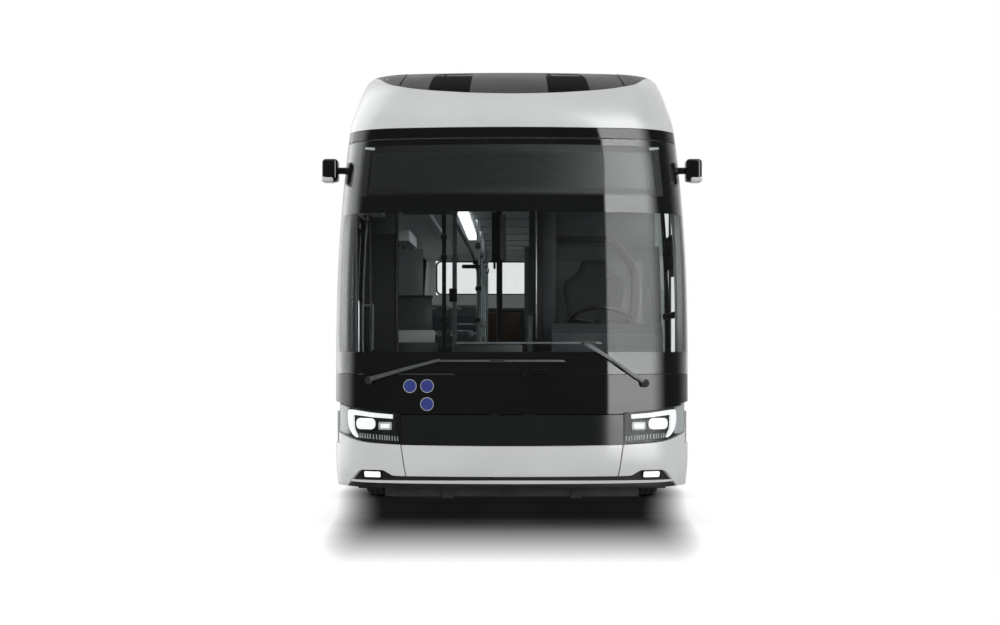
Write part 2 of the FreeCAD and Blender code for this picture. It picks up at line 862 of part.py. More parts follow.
def door_post(edge_y, way):
    post_y = edge_y - way * post_to_leaf
    pin_y = post_y + way * arm_r
    y0, y1 = sorted((post_y, pin_y))
    base = floor_top_z + fit
    pieces = [cyl(post_r, post_top_z - base, V(door_x, post_y, base), V(0, 0, 1)),
              cyl(post_pin_r, 28, V(door_x, post_y, post_top_z), V(0, 0, 1))]
    for z in (arm_low_z, arm_high_z):
        pieces.append(box(door_x - arm_w / 2, door_x + arm_w / 2, y0, y1, z, z + arm_t))
        pieces.append(cyl(arm_eye_r, arm_t, V(door_x, pin_y, z), V(0, 0, 1)))
    bore = cyl(pin_r + pin_clear, post_top_z, V(door_x, pin_y, floor_top_z), V(0, 0, 1))
    return fused(pieces).cut(bore)


def door_leaf(edge_y, way):
    y0, y1 = sorted((edge_y, edge_y + way * leaf_w))
    pin_y = edge_y + way * leaf_w / 2
    region = box(-half_w - past, -half_w + 5 * past, y0, y1, leaf_low_z, leaf_high_z)
    low, high = leaf_low_z + light_foot, leaf_high_z - light_head
    x0, x1 = side_span(-1)
    hole = rounded_window(y0 + leaf_rim, y1 - leaf_rim, low, high, light_r, x0, x1)
    frame = shell(region, 0, leaf_t).cut(hole)
    pane_tool = rounded_window(y0 + leaf_rim + fit, y1 - leaf_rim - fit, low + fit, high - fit,
                               light_r - fit, x0, x1)
    pane = shell(pane_tool, leaf_pane_inset, leaf_pane_inset + glass_wall)
    low_out, high_out = -half_w + 25, -half_w + 60
    lugs = [
        box(low_out, door_x, pin_y - lug_half, pin_y + lug_half, leaf_low_z, leaf_low_z + lug_h),
        cyl(lug_half, lug_h, V(door_x, pin_y, leaf_low_z), V(0, 0, 1)),
        cyl(pin_r, leaf_low_z - arm_low_z + 12, V(door_x, pin_y, arm_low_z - 2), V(0, 0, 1)),
        box(high_out, door_x, pin_y - lug_half, pin_y + lug_half, leaf_high_z - lug_h, leaf_high_z),
        cyl(lug_half, lug_h, V(door_x, pin_y, leaf_high_z - lug_h), V(0, 0, 1)),
        cyl(pin_r, arm_high_z + arm_t + 12 - leaf_high_z, V(door_x, pin_y, leaf_high_z - 10), V(0, 0, 1)),
    ]
    return compound([fused([frame] + lugs), pane])


def door_gear():
    # Housing over each doorway with the bearings of its two posts
    parts = []
    for y0 in (front_door_y, middle_door_y):
        region = box(-half_w, -half_w + 240, y0 - gear_reach, y0 + portal_w + gear_reach,
                     post_top_z + fit, post_top_z + gear_h)
        housing = skin(wall + fit).common(region)
        for edge, way in ((y0 + door_gap, 1), (y0 + portal_w - door_gap, -1)):
            y = edge - way * post_to_leaf
            housing = housing.cut(cyl(post_pin_r + pin_clear, 34, V(door_x, y, post_top_z), V(0, 0, 1)))
        parts.append(housing)
    return compound(parts)


def podium():
    # Raised cab floor, from the back of the lamp to the panel behind the driver
    front = mask_y - lamp_back + fit
    region = box(cab_x + fit, half_w, front, cab_rear_y - fit, floor_top_z, podium_z)
    return skin(wall + fit).common(region)


def dashboard():
    shelf = skin(wall + fit).common(box(-half_w, half_w, front_y, dash_y, dash_low_z, dash_top_z))
    bulkhead = skin(wall + fit).common(
        box(-bulkhead_x, bulkhead_x, dash_y - 110, dash_y - 80, floor_top_z + fit, dash_low_z + 5))
    profile = [(dash_y - 20, dash_low_z), (dash_y + 260, dash_low_z), (dash_y + 320, 1180),
               (dash_y + 150, 1440), (dash_y - 20, 1370)]
    binnacle = side_prism(profile, 290, 1090)
    tilt = radians(wheel_tilt)
    axis = V(0, sin(tilt), cos(tilt))
    hub = V(wheel_x, wheel_y, wheel_z)
    column = cyl(38, 570, hub.sub(axis * 620), axis)
    return fused([shelf, bulkhead, binnacle, column])


def steering_wheel():
    tilt = radians(wheel_tilt)
    axis = V(0, sin(tilt), cos(tilt))
    hub = V(wheel_x, wheel_y, wheel_z)
    ring = Part.makeTorus(wheel_ring_r, 15, hub, axis)
    boss = cyl(55, 50 - fit, hub.sub(axis * (50 - fit)), axis)
    spokes = []
    for angle in (-20, 200, 90):
        spoke = box(30, wheel_ring_r, -18, 18, -22, -6)
        spoke.rotate(V(0, 0, 0), V(0, 0, 1), angle)
        spoke.rotate(V(0, 0, 0), V(1, 0, 0), -wheel_tilt)
        spoke.translate(hub)
        spokes.append(spoke)
    return fused([ring, boss] + spokes)


def driver_seat():
    x = wheel_x
    y = cab_rear_y - 140
    pieces = [
        box(x - 120, x + 120, y - 420, y - 100, podium_z + fit, 960),
        box(x - 250, x + 250, y - 560, y, 950, 1070),
        side_prism([(y - 130, 1060), (y, 1060), (y + 90, 1740), (y - 20, 1740)], x - 250, x + 250),
        side_prism([(y + 5, 1730), (y + 85, 1730), (y + 95, 1985), (y + 25, 1985)], x - 110, x + 110),
    ]
    return fused(pieces)


def cab_partition():
    # Panel behind the driver with a window, and the cab side below the door's front edge
    x0 = cab_x - 50
    rear = skin(wall + fit).common(box(x0, half_w, cab_rear_y, cab_rear_y + 30, floor_top_z + fit, 2080))
    view = box(x0 + 90, 1060, cab_rear_y - 10, cab_rear_y + past, 1330, 1960)
    x1 = cab_x - cab_panel_t
    base, door_front = floor_top_z + fit, cab_door_y - run_gap
    side = box(x1, cab_x, cab_front_y - 60, door_front, base, cab_door_top_z)
    kick = box(x1, cab_x, door_front, cab_rear_y - fit, base, podium_z)
    return compound([rear.cut(view), fused([side, kick])])


def cab_door():
    x0, x1 = cab_x - cab_panel_t, cab_x
    y1 = cab_rear_y - 15
    z0, z1 = podium_z + run_gap, cab_door_top_z
    panel = box(x0, x1, cab_door_y, y1, z0, z1)
    axis_x, axis_y = cab_hinge()
    tabs = []
    for z in (z0 + 60, z1 - 140):
        tabs.append(cyl(cab_hinge_r, 80, V(axis_x, axis_y, z), V(0, 0, 1)))
        tabs.append(box(axis_x - 4, x0 + 10, axis_y - 22, axis_y, z, z + 80))
    return fused([panel] + tabs)


def cab_hinge():
    return cab_x - cab_panel_t - 8, cab_rear_y - fit - cab_hinge_r


def seat(x0, x1, y, floor):
    # Cushion, back and pedestal of one bench facing forwards
    mid = (x0 + x1) / 2
    pieces = [
        box(mid - 60, mid + 60, y + 120, y + 330, floor + fit, floor + 350),
        box(x0, x1, y, y + 430, floor + 340, floor + 430),
        side_prism([(y + 360, floor + 400), (y + 440, floor + 400), (y + 520, floor + 1020),
                    (y + 460, floor + 1020)], x0, x1),
    ]
    return fused(pieces)


def passenger_seats():
    low = floor_top_z
    left_rows = [front_axle_y + front_box_half + 200 + k * seat_pitch for k in range(6)]
    right_rows = [left_rows[0], left_rows[1], 900.0, 900.0 + seat_pitch * 0.9]
    rear_rows = [platform_y + 160, platform_y + 160 + seat_pitch]
    x0, x1 = seat_in_x, seat_in_x + seat_w
    seats = [seat(x0, x1, y, low) for y in left_rows if y + 520 < rear_axle_y - rear_box_half]
    seats += [seat(-x1, -x0, y, low) for y in right_rows]
    seats += [seat(x0, x1, y, platform_z) for y in rear_rows]
    seats += [seat(-x1, -x0, y, platform_z) for y in rear_rows]
    seats.append(seat(-bench_x, bench_x, rear_y - 760, platform_z))
    return compound(seats)


def handrails():
    # Floor-to-ceiling poles joined by a rail along each side, and the entrance screen's rails
    ceiling = cant_z - wall - fit
    rails = []
    low = floor_top_z + fit
    stops = [-2600.0, -1020.0, 760.0, rear_axle_y - rear_box_half - 90]
    for side in (-1, 1):
        x = side * rail_tube_x
        ends = [V(x, stops[0], rail_tube_z), V(x, stops[-1], rail_tube_z)]
        pieces = [tube(ends, rail_tube_r)]
        pieces += [cyl(rail_tube_r, ceiling - low, V(x, y, low), V(0, 0, 1)) for y in stops]
        rails.append(fused(pieces))
    for y in (platform_y + 120, platform_y + 1700):
        for side in (-1, 1):
            base = platform_z + fit
            rails.append(cyl(rail_tube_r, ceiling - base, V(side * rail_tube_x, y, base), V(0, 0, 1)))
    return compound(rails)


def entrance_screen():
    # Dark panel between the front doorway and the wheel box, on its grab rail
    y0 = front_door_y + portal_w + 165
    panel = skin(wall + fit).common(box(-half_w, -960, y0, y0 + 25, floor_top_z + fit, 2200))
    rail = cyl(rail_tube_r, cant_z - wall - 2 * fit - floor_top_z,
               V(-960 + rail_tube_r - 4, y0 + 12, floor_top_z + fit), V(0, 0, 1))
    return panel.fuse(rail)


def roof_units():
    # Battery packs and the climate unit on the roof deck
    packs = [box(-pack_half_x, pack_half_x, y, y + pack_l, cant_z, cant_z + pack_h) for y in pack_ys]
    top = cant_z + climate_h
    climate = box(-pack_half_x, pack_half_x, climate_y, climate_y + climate_l, cant_z, top)
    fans = [cyl(fan_r, fan_sink, V(x, y, top - fan_sink), V(0, 0, 1))
            for x in (-fan_x, fan_x) for y in fan_ys]
    return compound(packs + [cut_all(climate, fans)])


def wiper(pivot_x, pivot_z, mid_x, blade_x0, blade_x1, blade_z):
    front = box(-half_w, half_w, front_y - 100, front_y + 700, 0, roof_top_z)
    across = mid_x - pivot_x
    rise = blade_z - pivot_z
    long = hypot(across, rise)
    nx, nz = -rise / long * wiper_arm_w / 2, across / long * wiper_arm_w / 2
    ends = [(pivot_x + nx, pivot_z + nz), (pivot_x - nx, pivot_z - nz),
            (mid_x - nx * 0.7, blade_z - nz * 0.7), (mid_x + nx * 0.7, blade_z + nz * 0.7)]
    arm_zone = face_prism(ends, front_y - 100, front_y + 700)
    arm = shell(arm_zone, -arm_out, -arm_in)
    blade_zone = box(blade_x0, blade_x1, front_y - 100, front_y + 700, blade_z - blade_h / 2,
                     blade_z + blade_h / 2)
    blade = shell(blade_zone, -arm_in - 4, -fit)
    boss_zone = cyl(27, 800, V(pivot_x, front_y - 100, pivot_z), V(0, 1, 0))
    boss = shell(boss_zone.common(front), -arm_out, -fit)
    return arm.fuse([blade, boss])


def wipers():
    right = wiper(-980, 1040, -60, -590, 330, wiper_low_z)
    left = wiper(910, 1020, 130, -340, 620, wiper_high_z)
    return compound([right, left])


def camera_arms():
    pod = box(camera_out_x - camera_w, camera_out_x, camera_y, camera_y + camera_l,
              camera_z, camera_z + camera_h)
    edges = [e for e in pod.Edges if abs(e.Vertexes[0].Y - e.Vertexes[1].Y) > 1]
    pod = pod.makeFillet(28, edges)
    arm = box(1100, camera_out_x - 30, camera_y + 40, camera_y + 120, camera_z + 60, camera_z + 110)
    arm = arm.fuse(pod).cut(skin(-fit))
    arm = sorted(arm.Solids, key=lambda s: s.Volume)[-1]
    return compound([arm, mirrored(arm)])


def write(name, shape):
    shape = Part.makeCompound(shape.Solids) if len(shape.Solids) != 1 else shape.Solids[0]
    shape.exportStep(os.path.join("parts", name + ".step"))
    print(name, len(shape.Solids), shape.isValid(), round(shape.Volume / 1e6, 2))


def main():
    os.makedirs("parts", exist_ok=True)
    left, right = side_walls()
    write("left_wall", left)
    write("right_wall", right)
    write("skirt_panels", skirts())
    write("windows", compound([side_windows(), rear_window()]))
    write("roof", roof())
    write("roof_fairings", roof_fairings())
    write("front_cap", front_cap())
    write("roof_visor", roof_visor())
    write("windscreen", windscreen())
    write("screen_frame", screen_frame())
    write("destination_sign", destination_sign())
    write("head_band", head_band())
    write("front_panel", front_panel())
    write("front_flap", front_flap())
    write("headlamps", headlamps())
    write("front_bumper", front_bumper())
    write("corner_posts", corner_posts())
    write("rear_wall", rear_wall())
    write("rear_lid", rear_lid())
    write("rear_bumper", rear_bumper())
    write("rear_cap", rear_cap())
    write("tail_lamps", tail_lamps())
    write("chassis_frame", chassis_frame())
    write("floor", compound(floor_panels() + [podium()]))
    write("wheel_boxes", wheel_boxes())
    write("front_axle", front_axle())
    write("rear_axle", rear_axle())
    write("air_springs", air_springs())
    write("track_rod", track_rod())
    for name, side in (("left", 1), ("right", -1)):
        write("knuckle_" + name, knuckle(side))
        write("front_rim_" + name, front_rim(side))
        write("front_tyre_" + name, front_tyre(side))
        write("rear_rims_" + name, rear_rims(side))
        write("rear_tyres_" + name, rear_tyres(side))
    write("power_unit", power_unit())
    for name, edge_y, way in leaf_places():
        write("door_post_" + name, door_post(edge_y, way))
        write("door_leaf_" + name, door_leaf(edge_y, way))
    write("door_gear", door_gear())
    write("dashboard", dashboard())
    write("steering_wheel", steering_wheel())
    write("driver_seat", driver_seat())
    write("cab_partition", cab_partition())
    write("cab_door", cab_door())
    write("passenger_seats", passenger_seats())
    write("handrails", handrails())
    write("entrance_screen", entrance_screen())
    write("roof_units", roof_units())
    write("wipers", wipers())
    write("camera_arms", camera_arms())


main()
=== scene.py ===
# Looks of the city bus: metres, +Z up, the front is towards -Y, the driver's side is +X
import bpy
import bmesh
import json
from math import atan2, cos, pi, radians, sin, sqrt
from mathutils import Matrix, Vector


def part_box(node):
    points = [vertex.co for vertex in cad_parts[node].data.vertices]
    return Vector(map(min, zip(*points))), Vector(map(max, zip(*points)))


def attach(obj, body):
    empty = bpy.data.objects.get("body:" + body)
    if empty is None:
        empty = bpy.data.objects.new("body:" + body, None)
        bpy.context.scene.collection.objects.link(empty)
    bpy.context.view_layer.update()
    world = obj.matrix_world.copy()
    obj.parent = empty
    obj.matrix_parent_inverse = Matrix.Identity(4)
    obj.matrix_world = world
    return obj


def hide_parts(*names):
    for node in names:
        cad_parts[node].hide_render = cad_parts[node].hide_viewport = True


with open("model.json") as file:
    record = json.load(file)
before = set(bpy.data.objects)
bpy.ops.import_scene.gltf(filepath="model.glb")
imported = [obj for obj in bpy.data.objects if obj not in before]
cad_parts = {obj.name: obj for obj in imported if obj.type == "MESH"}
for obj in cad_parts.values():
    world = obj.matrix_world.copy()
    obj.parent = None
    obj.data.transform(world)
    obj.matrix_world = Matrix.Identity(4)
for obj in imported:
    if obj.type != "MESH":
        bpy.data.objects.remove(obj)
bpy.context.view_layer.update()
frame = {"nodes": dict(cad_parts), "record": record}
nodes = frame["nodes"]

# Driving sizes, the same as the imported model's
halfW = 1.275
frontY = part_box("front_bumper")[0].y + 0.001
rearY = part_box("rear_bumper")[1].y - 0.001
maskY = frontY + 0.77
tailY = rearY - 0.33
tyreR = 0.479
frontAxleY = frontY + 2.75
rearAxleY = frontAxleY + 5.95
floorZ = 0.34
platformZ = 0.70
frontBowR = 4.2
frontCornerR = 0.43
rearBowR = 9.0
rearCornerR = 0.22
# Height, then how far the skin stands back there at the front, at the rear and at each side
skinStations = [
    (0.280, 0.048, 0.042, 0.012), (0.420, 0.010, 0.008, 0.003), (0.600, 0.000, 0.000, 0.000),
    (1.100, 0.004, 0.000, 0.000), (1.400, 0.020, 0.002, 0.000), (1.900, 0.065, 0.015, 0.0104),
    (2.400, 0.120, 0.045, 0.0417), (2.790, 0.175, 0.095, 0.0805), (2.900, 0.210, 0.120, 0.095),
    (3.050, 0.310, 0.170, 0.135), (3.170, 0.450, 0.228, 0.163), (3.260, 0.640, 0.288, 0.184),
    (3.310, 0.820, 0.320, 0.195),
]


# The body's skin
def slopes(column):
    # Slope at each station: the mean of its two sides, level where they run opposite ways
    ds = [(b[column] - a[column]) / (b[0] - a[0]) for a, b in zip(skinStations, skinStations[1:])]
    return [ds[0]] + [0.0 if a * b < 0 else (a + b) / 2 for a, b in zip(ds, ds[1:])] + [ds[-1]]


stationSlopes = {c: slopes(c) for c in (1, 2, 3)}


def setBack(z, column):
    z = min(max(z, skinStations[0][0]), skinStations[-1][0])
    i = 0
    while i < len(skinStations) - 2 and z > skinStations[i + 1][0]:
        i += 1
    a, b = skinStations[i], skinStations[i + 1]
    h = b[0] - a[0]
    t = (z - a[0]) / h
    m0, m1 = stationSlopes[column][i] * h, stationSlopes[column][i + 1] * h
    return ((2 * t ** 3 - 3 * t ** 2 + 1) * a[column] + (t ** 3 - 2 * t ** 2 + t) * m0
            + (-2 * t ** 3 + 3 * t ** 2) * b[column] + (t ** 3 - t ** 2) * m1)


def cornerOf(w, end, bowR, cornerR, sense):
    # Centre of the rounded corner, and how far along the bus the bow's centre lies
    x = w - cornerR
    return x, end + sense * (bowR - sqrt((bowR - cornerR) ** 2 - x ** 2)), end + sense * bowR


def skinPoint(z, u, inset=0.0):
    # u: 0 front centre, 1 where the corner starts, 2 where the side starts, 3 where the rear corner
    # starts, 4 where it ends, 5 rear centre; negative on the doors' side
    side, u = -1 if u < 0 else 1, abs(u)
    w = halfW - setBack(z, 3)
    cx, cy, bowY = cornerOf(w, frontY + setBack(z, 1), frontBowR, frontCornerR, 1)
    rx, ry, rearBowY = cornerOf(w, rearY - setBack(z, 2), rearBowR, rearCornerR, -1)
    if 2 < u <= 3:
        return Vector((side * (w - inset), cy + (ry - cy) * (u - 2), z))
    turn = atan2(cx, bowY - cy) if u <= 2 else atan2(rx, ry - rearBowY)
    if u <= 1:
        x, y, bend, a = 0.0, bowY, frontBowR, turn * u
    elif u <= 2:
        x, y, bend, a = cx, cy, frontCornerR, turn + (pi / 2 - turn) * (u - 1)
    elif u <= 4:
        x, y, bend, a = rx, ry, rearCornerR, pi / 2 + (turn - pi / 2) * (u - 3)
    else:
        x, y, bend, a = 0.0, rearBowY, rearBowR, turn * (5 - u)
    bend -= inset
    return Vector((side * (x + bend * sin(a)), y + bend * cos(a) * (-1 if u <= 2 else 1), z))


def halved(low, high, short):
    # Where the test turns from true to false
    for _ in range(34):
        mid = (low + high) / 2
        if short(mid):
            low = mid
        else:
            high = mid
    return (low + high) / 2


def onLeft(z, y):
    return halved(0.0, 5.0, lambda u: skinPoint(z, u).y < y)


def onRight(z, y):
    return -onLeft(z, y)


def onRear(z, x):
    u = halved(3.0, 5.0, lambda u: skinPoint(z, u).x > abs(x))
    return -u if x < 0 else u


# Distance s round the front from its middle, over the bow, the corner and the side
bowLength = 0.9497
cornerLength = 0.5782
sideLength = rearY - frontY - 1.15


def uOfS(s):
    a = abs(s)
    if a <= bowLength:
        u = a / bowLength
    elif a <= bowLength + cornerLength:
        u = 1 + (a - bowLength) / cornerLength
    else:
        u = 2 + (a - bowLength - cornerLength) / sideLength
    return u if s >= 0 else -u


def uToS(u):
    a = abs(u)
    s = bowLength * a if a <= 1 else bowLength + cornerLength * (a - 1)
    return s if u >= 0 else -s


# Outlines and forms
def spread(start, end, count):
    return [start + (end - start) * k / count for k in range(count + 1)]


def smoothLine(points, steps=6):
    # Even curve through measured points
    line = []
    for i in range(len(points) - 1):
        a, b = points[max(i - 1, 0)], points[i]
        c, d = points[i + 1], points[min(i + 2, len(points) - 1)]
        for k in range(steps):
            t = k / steps
            line.append(tuple(0.5 * (2 * b[n] + (c[n] - a[n]) * t + (2 * a[n] - 5 * b[n] + 4 * c[n] - d[n]) * t * t
                                     + (3 * b[n] - a[n] - 3 * c[n] + d[n]) * t ** 3) for n in (0, 1)))
    return line + [tuple(points[-1])]


def rect(a0, a1, z0, z1):
    return [(a0, z0), (a1, z0), (a1, z1), (a0, z1)]


def roundedBox(a0, a1, z0, z1, r, steps=5):
    corners = [(a1 - r, z1 - r, 0), (a0 + r, z1 - r, 90), (a0 + r, z0 + r, 180), (a1 - r, z0 + r, 270)]
    return [(a + r * cos(radians(at + 90 * k / steps)), z + r * sin(radians(at + 90 * k / steps)))
            for a, z, at in corners for k in range(steps + 1)]


def grown(box, by, r):
    a0, a1, z0, z1 = box
    return roundedBox(a0 - by, a1 + by, z0 - by, z1 + by, r)


def circle(a, z, r, steps=32):
    return [(a + r * cos(2 * pi * k / steps), z + r * sin(2 * pi * k / steps)) for k in range(steps)]


def finishMesh(name, bm, material, body="coach", node=None, angle=32):
    # Piece of its own: rides on its body, and may take a imported node's place
    bmesh.ops.recalc_face_normals(bm, faces=bm.faces)
    mesh = bpy.data.meshes.new(name)
    bm.to_mesh(mesh)
    bm.free()
    piece = bpy.data.objects.new(name, mesh)
    bpy.context.scene.collection.objects.link(piece)
    mesh.materials.append(material)
    if body:
        mesh.shade_smooth()
        mesh.set_sharp_from_angle(angle=radians(angle))
        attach(piece, body)
    if node:
        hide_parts(node)
    return piece


def bevelEdges(bm, edges, width, segments=2, **settings):
    if edges and width:
        bmesh.ops.bevel(bm, geom=edges, offset=width, offset_type="OFFSET", affect="EDGES",
                        segments=segments, profile=0.5, material=-1, **settings)


def bevelRim(bm, width, angle=40):
    sharp = [e for e in bm.edges if len(e.link_faces) == 2 and e.calc_face_angle(0) > radians(angle)]
    bevelEdges(bm, sharp, width)


def drawOut(bm, step):
    # Flat faces become a solid
    made = bmesh.ops.extrude_face_region(bm, geom=bm.faces[:])
    bmesh.ops.translate(bm, vec=step, verts=[g for g in made["geom"] if isinstance(g, bmesh.types.BMVert)])
    bmesh.ops.recalc_face_normals(bm, faces=bm.faces[:])


def sliceAcross(bm, axis, levels):
    for level in levels:
        bmesh.ops.bisect_plane(bm, geom=bm.verts[:] + bm.edges[:] + bm.faces[:], dist=1e-6,
                               plane_co=tuple(c * level for c in axis), plane_no=axis)


def gridSolid(bm, outer, inner):
    # Closed solid between two equal grids of points
    rows, cols = len(outer), len(outer[0])
    a = [[bm.verts.new(p) for p in row] for row in outer]
    b = [[bm.verts.new(p) for p in row] for row in inner]
    for i in range(rows - 1):
        for j in range(cols - 1):
            bm.faces.new((a[i][j], a[i][j + 1], a[i + 1][j + 1], a[i + 1][j]))
            bm.faces.new((b[i][j], b[i + 1][j], b[i + 1][j + 1], b[i][j + 1]))
        bm.faces.new((a[i][0], a[i + 1][0], b[i + 1][0], b[i][0]))
        bm.faces.new((a[i][-1], b[i][-1], b[i + 1][-1], a[i + 1][-1]))
    for j in range(cols - 1):
        bm.faces.new((a[0][j], b[0][j], b[0][j + 1], a[0][j + 1]))
        bm.faces.new((a[-1][j], a[-1][j + 1], b[-1][j + 1], b[-1][j]))


def panel(name, material, slot, uLow, uHigh, zLow, zHigh, inset=0.0, thick=0.01, cols=24, rows=8, bevel=0.003,
          node=None):
    # Piece of the body's skin; its four borders may be numbers or functions
    def border(value, at):
        return value(at) if callable(value) else value

    outer, inner = [], []
    for r in spread(0.0, 1.0, rows):
        outRow, inRow = [], []
        for s in spread(0.0, 1.0, cols):
            uGuess = border(uLow, 1.0) + (border(uHigh, 1.0) - border(uLow, 1.0)) * s
            low, high = border(zLow, uGuess), border(zHigh, uGuess)
            z = low + (high - low) * r
            u = border(uLow, z) + (border(uHigh, z) - border(uLow, z)) * s
            outRow.append(skinPoint(z, u, inset))
            inRow.append(skinPoint(z, u, inset + thick))
        outer.append(outRow)
        inner.append(inRow)
    bm = bmesh.new()
    gridSolid(bm, outer, inner)
    bevelRim(bm, bevel)
    return finishMesh(name, bm, material, node=node)


def skinPlate(name, material, outlines, inset=0.0, thick=0.006, bevel=0.0015, step=0.04, both=False,
              body="coach", node=None):
    # Flat plates bent onto the front, from closed lines of (s, z); both adds their mirror images
    bm = bmesh.new()
    for outline in outlines:
        for side in ((1, -1) if both else (1,)):
            bm.faces.new([bm.verts.new((s * side, 0.0, z)) for s, z in outline])
    bmesh.ops.triangulate(bm, faces=bm.faces[:], ngon_method="BEAUTY")
    ends = [(min(v.co[n] for v in bm.verts), max(v.co[n] for v in bm.verts)) for n in (0, 2)]
    for axis, (low, high) in zip(((1, 0, 0), (0, 0, 1)), ends):
        sliceAcross(bm, axis, spread(low, high, int((high - low) / step) + 1)[1:-1])
    bmesh.ops.remove_doubles(bm, verts=bm.verts[:], dist=1e-5)
    drawOut(bm, (0, thick, 0))
    rim = [e for e in bm.edges if len(e.link_faces) == 2 and e.calc_face_angle(0) > radians(60)
           and max(v.co.y for v in e.verts) < thick / 2]
    bevelEdges(bm, rim, bevel, clamp_overlap=True)
    for v in bm.verts:
        v.co = skinPoint(v.co.z, uOfS(v.co.x), inset + v.co.y)
    return finishMesh(name, bm, material, body, node, 38)


def wallPlate(name, material, slot, shapes, place, inset=0.0, thick=0.012, bevel=0.0015, body="coach", step=0.15,
              cross=0.0, node=None):
    # Plates with openings bent onto a side or the rear, from closed lines of (distance, height)
    bm = bmesh.new()
    for loops in shapes:
        edges = []
        for loop in loops:
            verts = [bm.verts.new((0.0, a, z)) for a, z in loop]
            edges += [bm.edges.new(pair) for pair in zip(verts, verts[1:] + verts[:1])]
        bmesh.ops.triangle_fill(bm, use_beauty=True, use_dissolve=False, edges=edges, normal=(1, 0, 0))
    for n, axis, gap in ((2, (0, 0, 1), step), (1, (0, 1, 0), cross)):
        if gap:
            low, high = min(v.co[n] for v in bm.verts), max(v.co[n] for v in bm.verts)
            sliceAcross(bm, axis, spread(low, high, max(2, int((high - low) / gap)))[1:-1])
    drawOut(bm, (thick, 0, 0))
    if bevel:
        bevelRim(bm, bevel, 60)
    for vert in bm.verts:
        deep, a, z = vert.co
        vert.co = skinPoint(z, place(z, a), inset + deep)
    return finishMesh(name, bm, material, body, node, 38)


def boxInto(bm, lo, hi, bevel=0.0, segments=2, at=(0, 0, 0)):
    verts = bmesh.ops.create_cube(bm, size=1.0)["verts"]
    bmesh.ops.scale(bm, vec=[h - l for l, h in zip(lo, hi)], verts=verts)
    bmesh.ops.translate(bm, vec=[(h + l) / 2 + o for l, h, o in zip(lo, hi, at)], verts=verts)
    bevelEdges(bm, list({e for v in verts for e in v.link_edges}), bevel, segments)
    return verts


def boxPiece(name, boxes, material, bevel=0.004):
    # Joined bevelled blocks, each from its lowest to its highest corner
    bm = bmesh.new()
    for lo, hi in boxes:
        boxInto(bm, lo, hi, min([bevel] + [(h - l) * 0.4 for l, h in zip(lo, hi)]))
    return finishMesh(name, bm, material)


def coneInto(bm, at, r0, r1, depth, sides=28, turn=0, axis="X"):
    verts = bmesh.ops.create_cone(bm, cap_ends=True, segments=sides, radius1=r0, radius2=r1, depth=depth)["verts"]
    if turn:
        bmesh.ops.rotate(bm, verts=verts, cent=(0, 0, 0), matrix=Matrix.Rotation(radians(turn), 3, axis))
    bmesh.ops.translate(bm, verts=verts, vec=at)


def extruded(outline, axis, low, high, bevel=0.003):
    # Flat outline, given in the two other axes, drawn out along one axis
    bm = bmesh.new()
    order = {"x": (1, 2, 0), "y": (0, 2, 1), "z": (0, 1, 2)}[axis]

    def point(*values):
        return [value for n, value in sorted(zip(order, values))]

    bm.faces.new([bm.verts.new(point(a, b, low)) for a, b in outline])
    drawOut(bm, point(0.0, 0.0, high - low))
    bevelRim(bm, bevel)
    return bm


def tubePiece(name, points, radius, material, body="coach", corner=0.06, sides=14, node=None):
    # Bent tube with rounded corners
    path = [Vector(points[0])]
    for a, b, c in zip(points, points[1:], points[2:]):
        a, b, c = Vector(a), Vector(b), Vector(c)
        reach = min(corner, (a - b).length * 0.45, (c - b).length * 0.45)
        start, end = b + (a - b).normalized() * reach, b + (c - b).normalized() * reach
        for t in spread(0.0, 1.0, 6):
            path.append(start * (1 - t) ** 2 + b * 2 * t * (1 - t) + end * t ** 2)
    path.append(Vector(points[-1]))
    bm = bmesh.new()
    rings = []
    side = None
    for i, p in enumerate(path):
        ahead = (path[min(i + 1, len(path) - 1)] - path[max(i - 1, 0)]).normalized()
        if side is None:
            side = ahead.orthogonal().normalized()
        side = (side - ahead * side.dot(ahead)).normalized()
        up = ahead.cross(side)
        rings.append([bm.verts.new(p + (side * c + up * s) * radius) for c, s in circle(0, 0, 1, sides)])
    for a, b in zip(rings, rings[1:]):
        for k in range(sides):
            bm.faces.new((a[k], a[(k + 1) % sides], b[(k + 1) % sides], b[k]))
    bm.faces.new(rings[0][::-1])
    bm.faces.new(rings[-1])
    return finishMesh(name, bm, material, body, node, 50)


# Materials: real finishes, with pattern sizes in millimetres
def rgb(hexCode, share=1.0):
    parts = [int(hexCode[i:i + 2], 16) / 255 for i in (0, 2, 4)]
    return tuple([(p / 12.92 if p <= 0.04045 else ((p + 0.055) / 1.055) ** 2.4) * share for p in parts] + [1.0])


def addNode(tree, kind, inputs=None, **settings):
    # An input is a value, an output, or a node that stands for its first output
    node = tree.nodes.new(kind)
    for key, value in settings.items():
        setattr(node, key, value)
    for key, value in (inputs or {}).items():
        value = value.outputs[0] if hasattr(value, "outputs") else value
        if hasattr(value, "is_output"):
            tree.links.new(value, node.inputs[key])
        else:
            node.inputs[key].default_value = value
    return node


def perMetre(sizeMm):
    return 1000.0 / sizeMm


def startMaterial(name):
    material = bpy.data.materials.new(name)
    material.use_nodes = True
    tree = material.node_tree
    tree.nodes.clear()
    return material, tree, addNode(tree, "ShaderNodeTexCoord").outputs["Object"]


def closeMaterial(material, tree, shader):
    addNode(tree, "ShaderNodeOutputMaterial", {"Surface": shader})
    return material


def twoTones(tree, where, sizeMm, a, b):
    # Colour that wanders between two tones over patches of one size, and the share of the second
    wander = addNode(tree, "ShaderNodeTexNoise", {"Vector": where, "Scale": perMetre(sizeMm), "Detail": 4.0})
    share = addNode(tree, "ShaderNodeMapRange", {"Value": wander, "From Min": 0.35, "From Max": 0.65})
    return addNode(tree, "ShaderNodeMix", {0: share, 6: a, 7: b}, data_type="RGBA").outputs[2], share


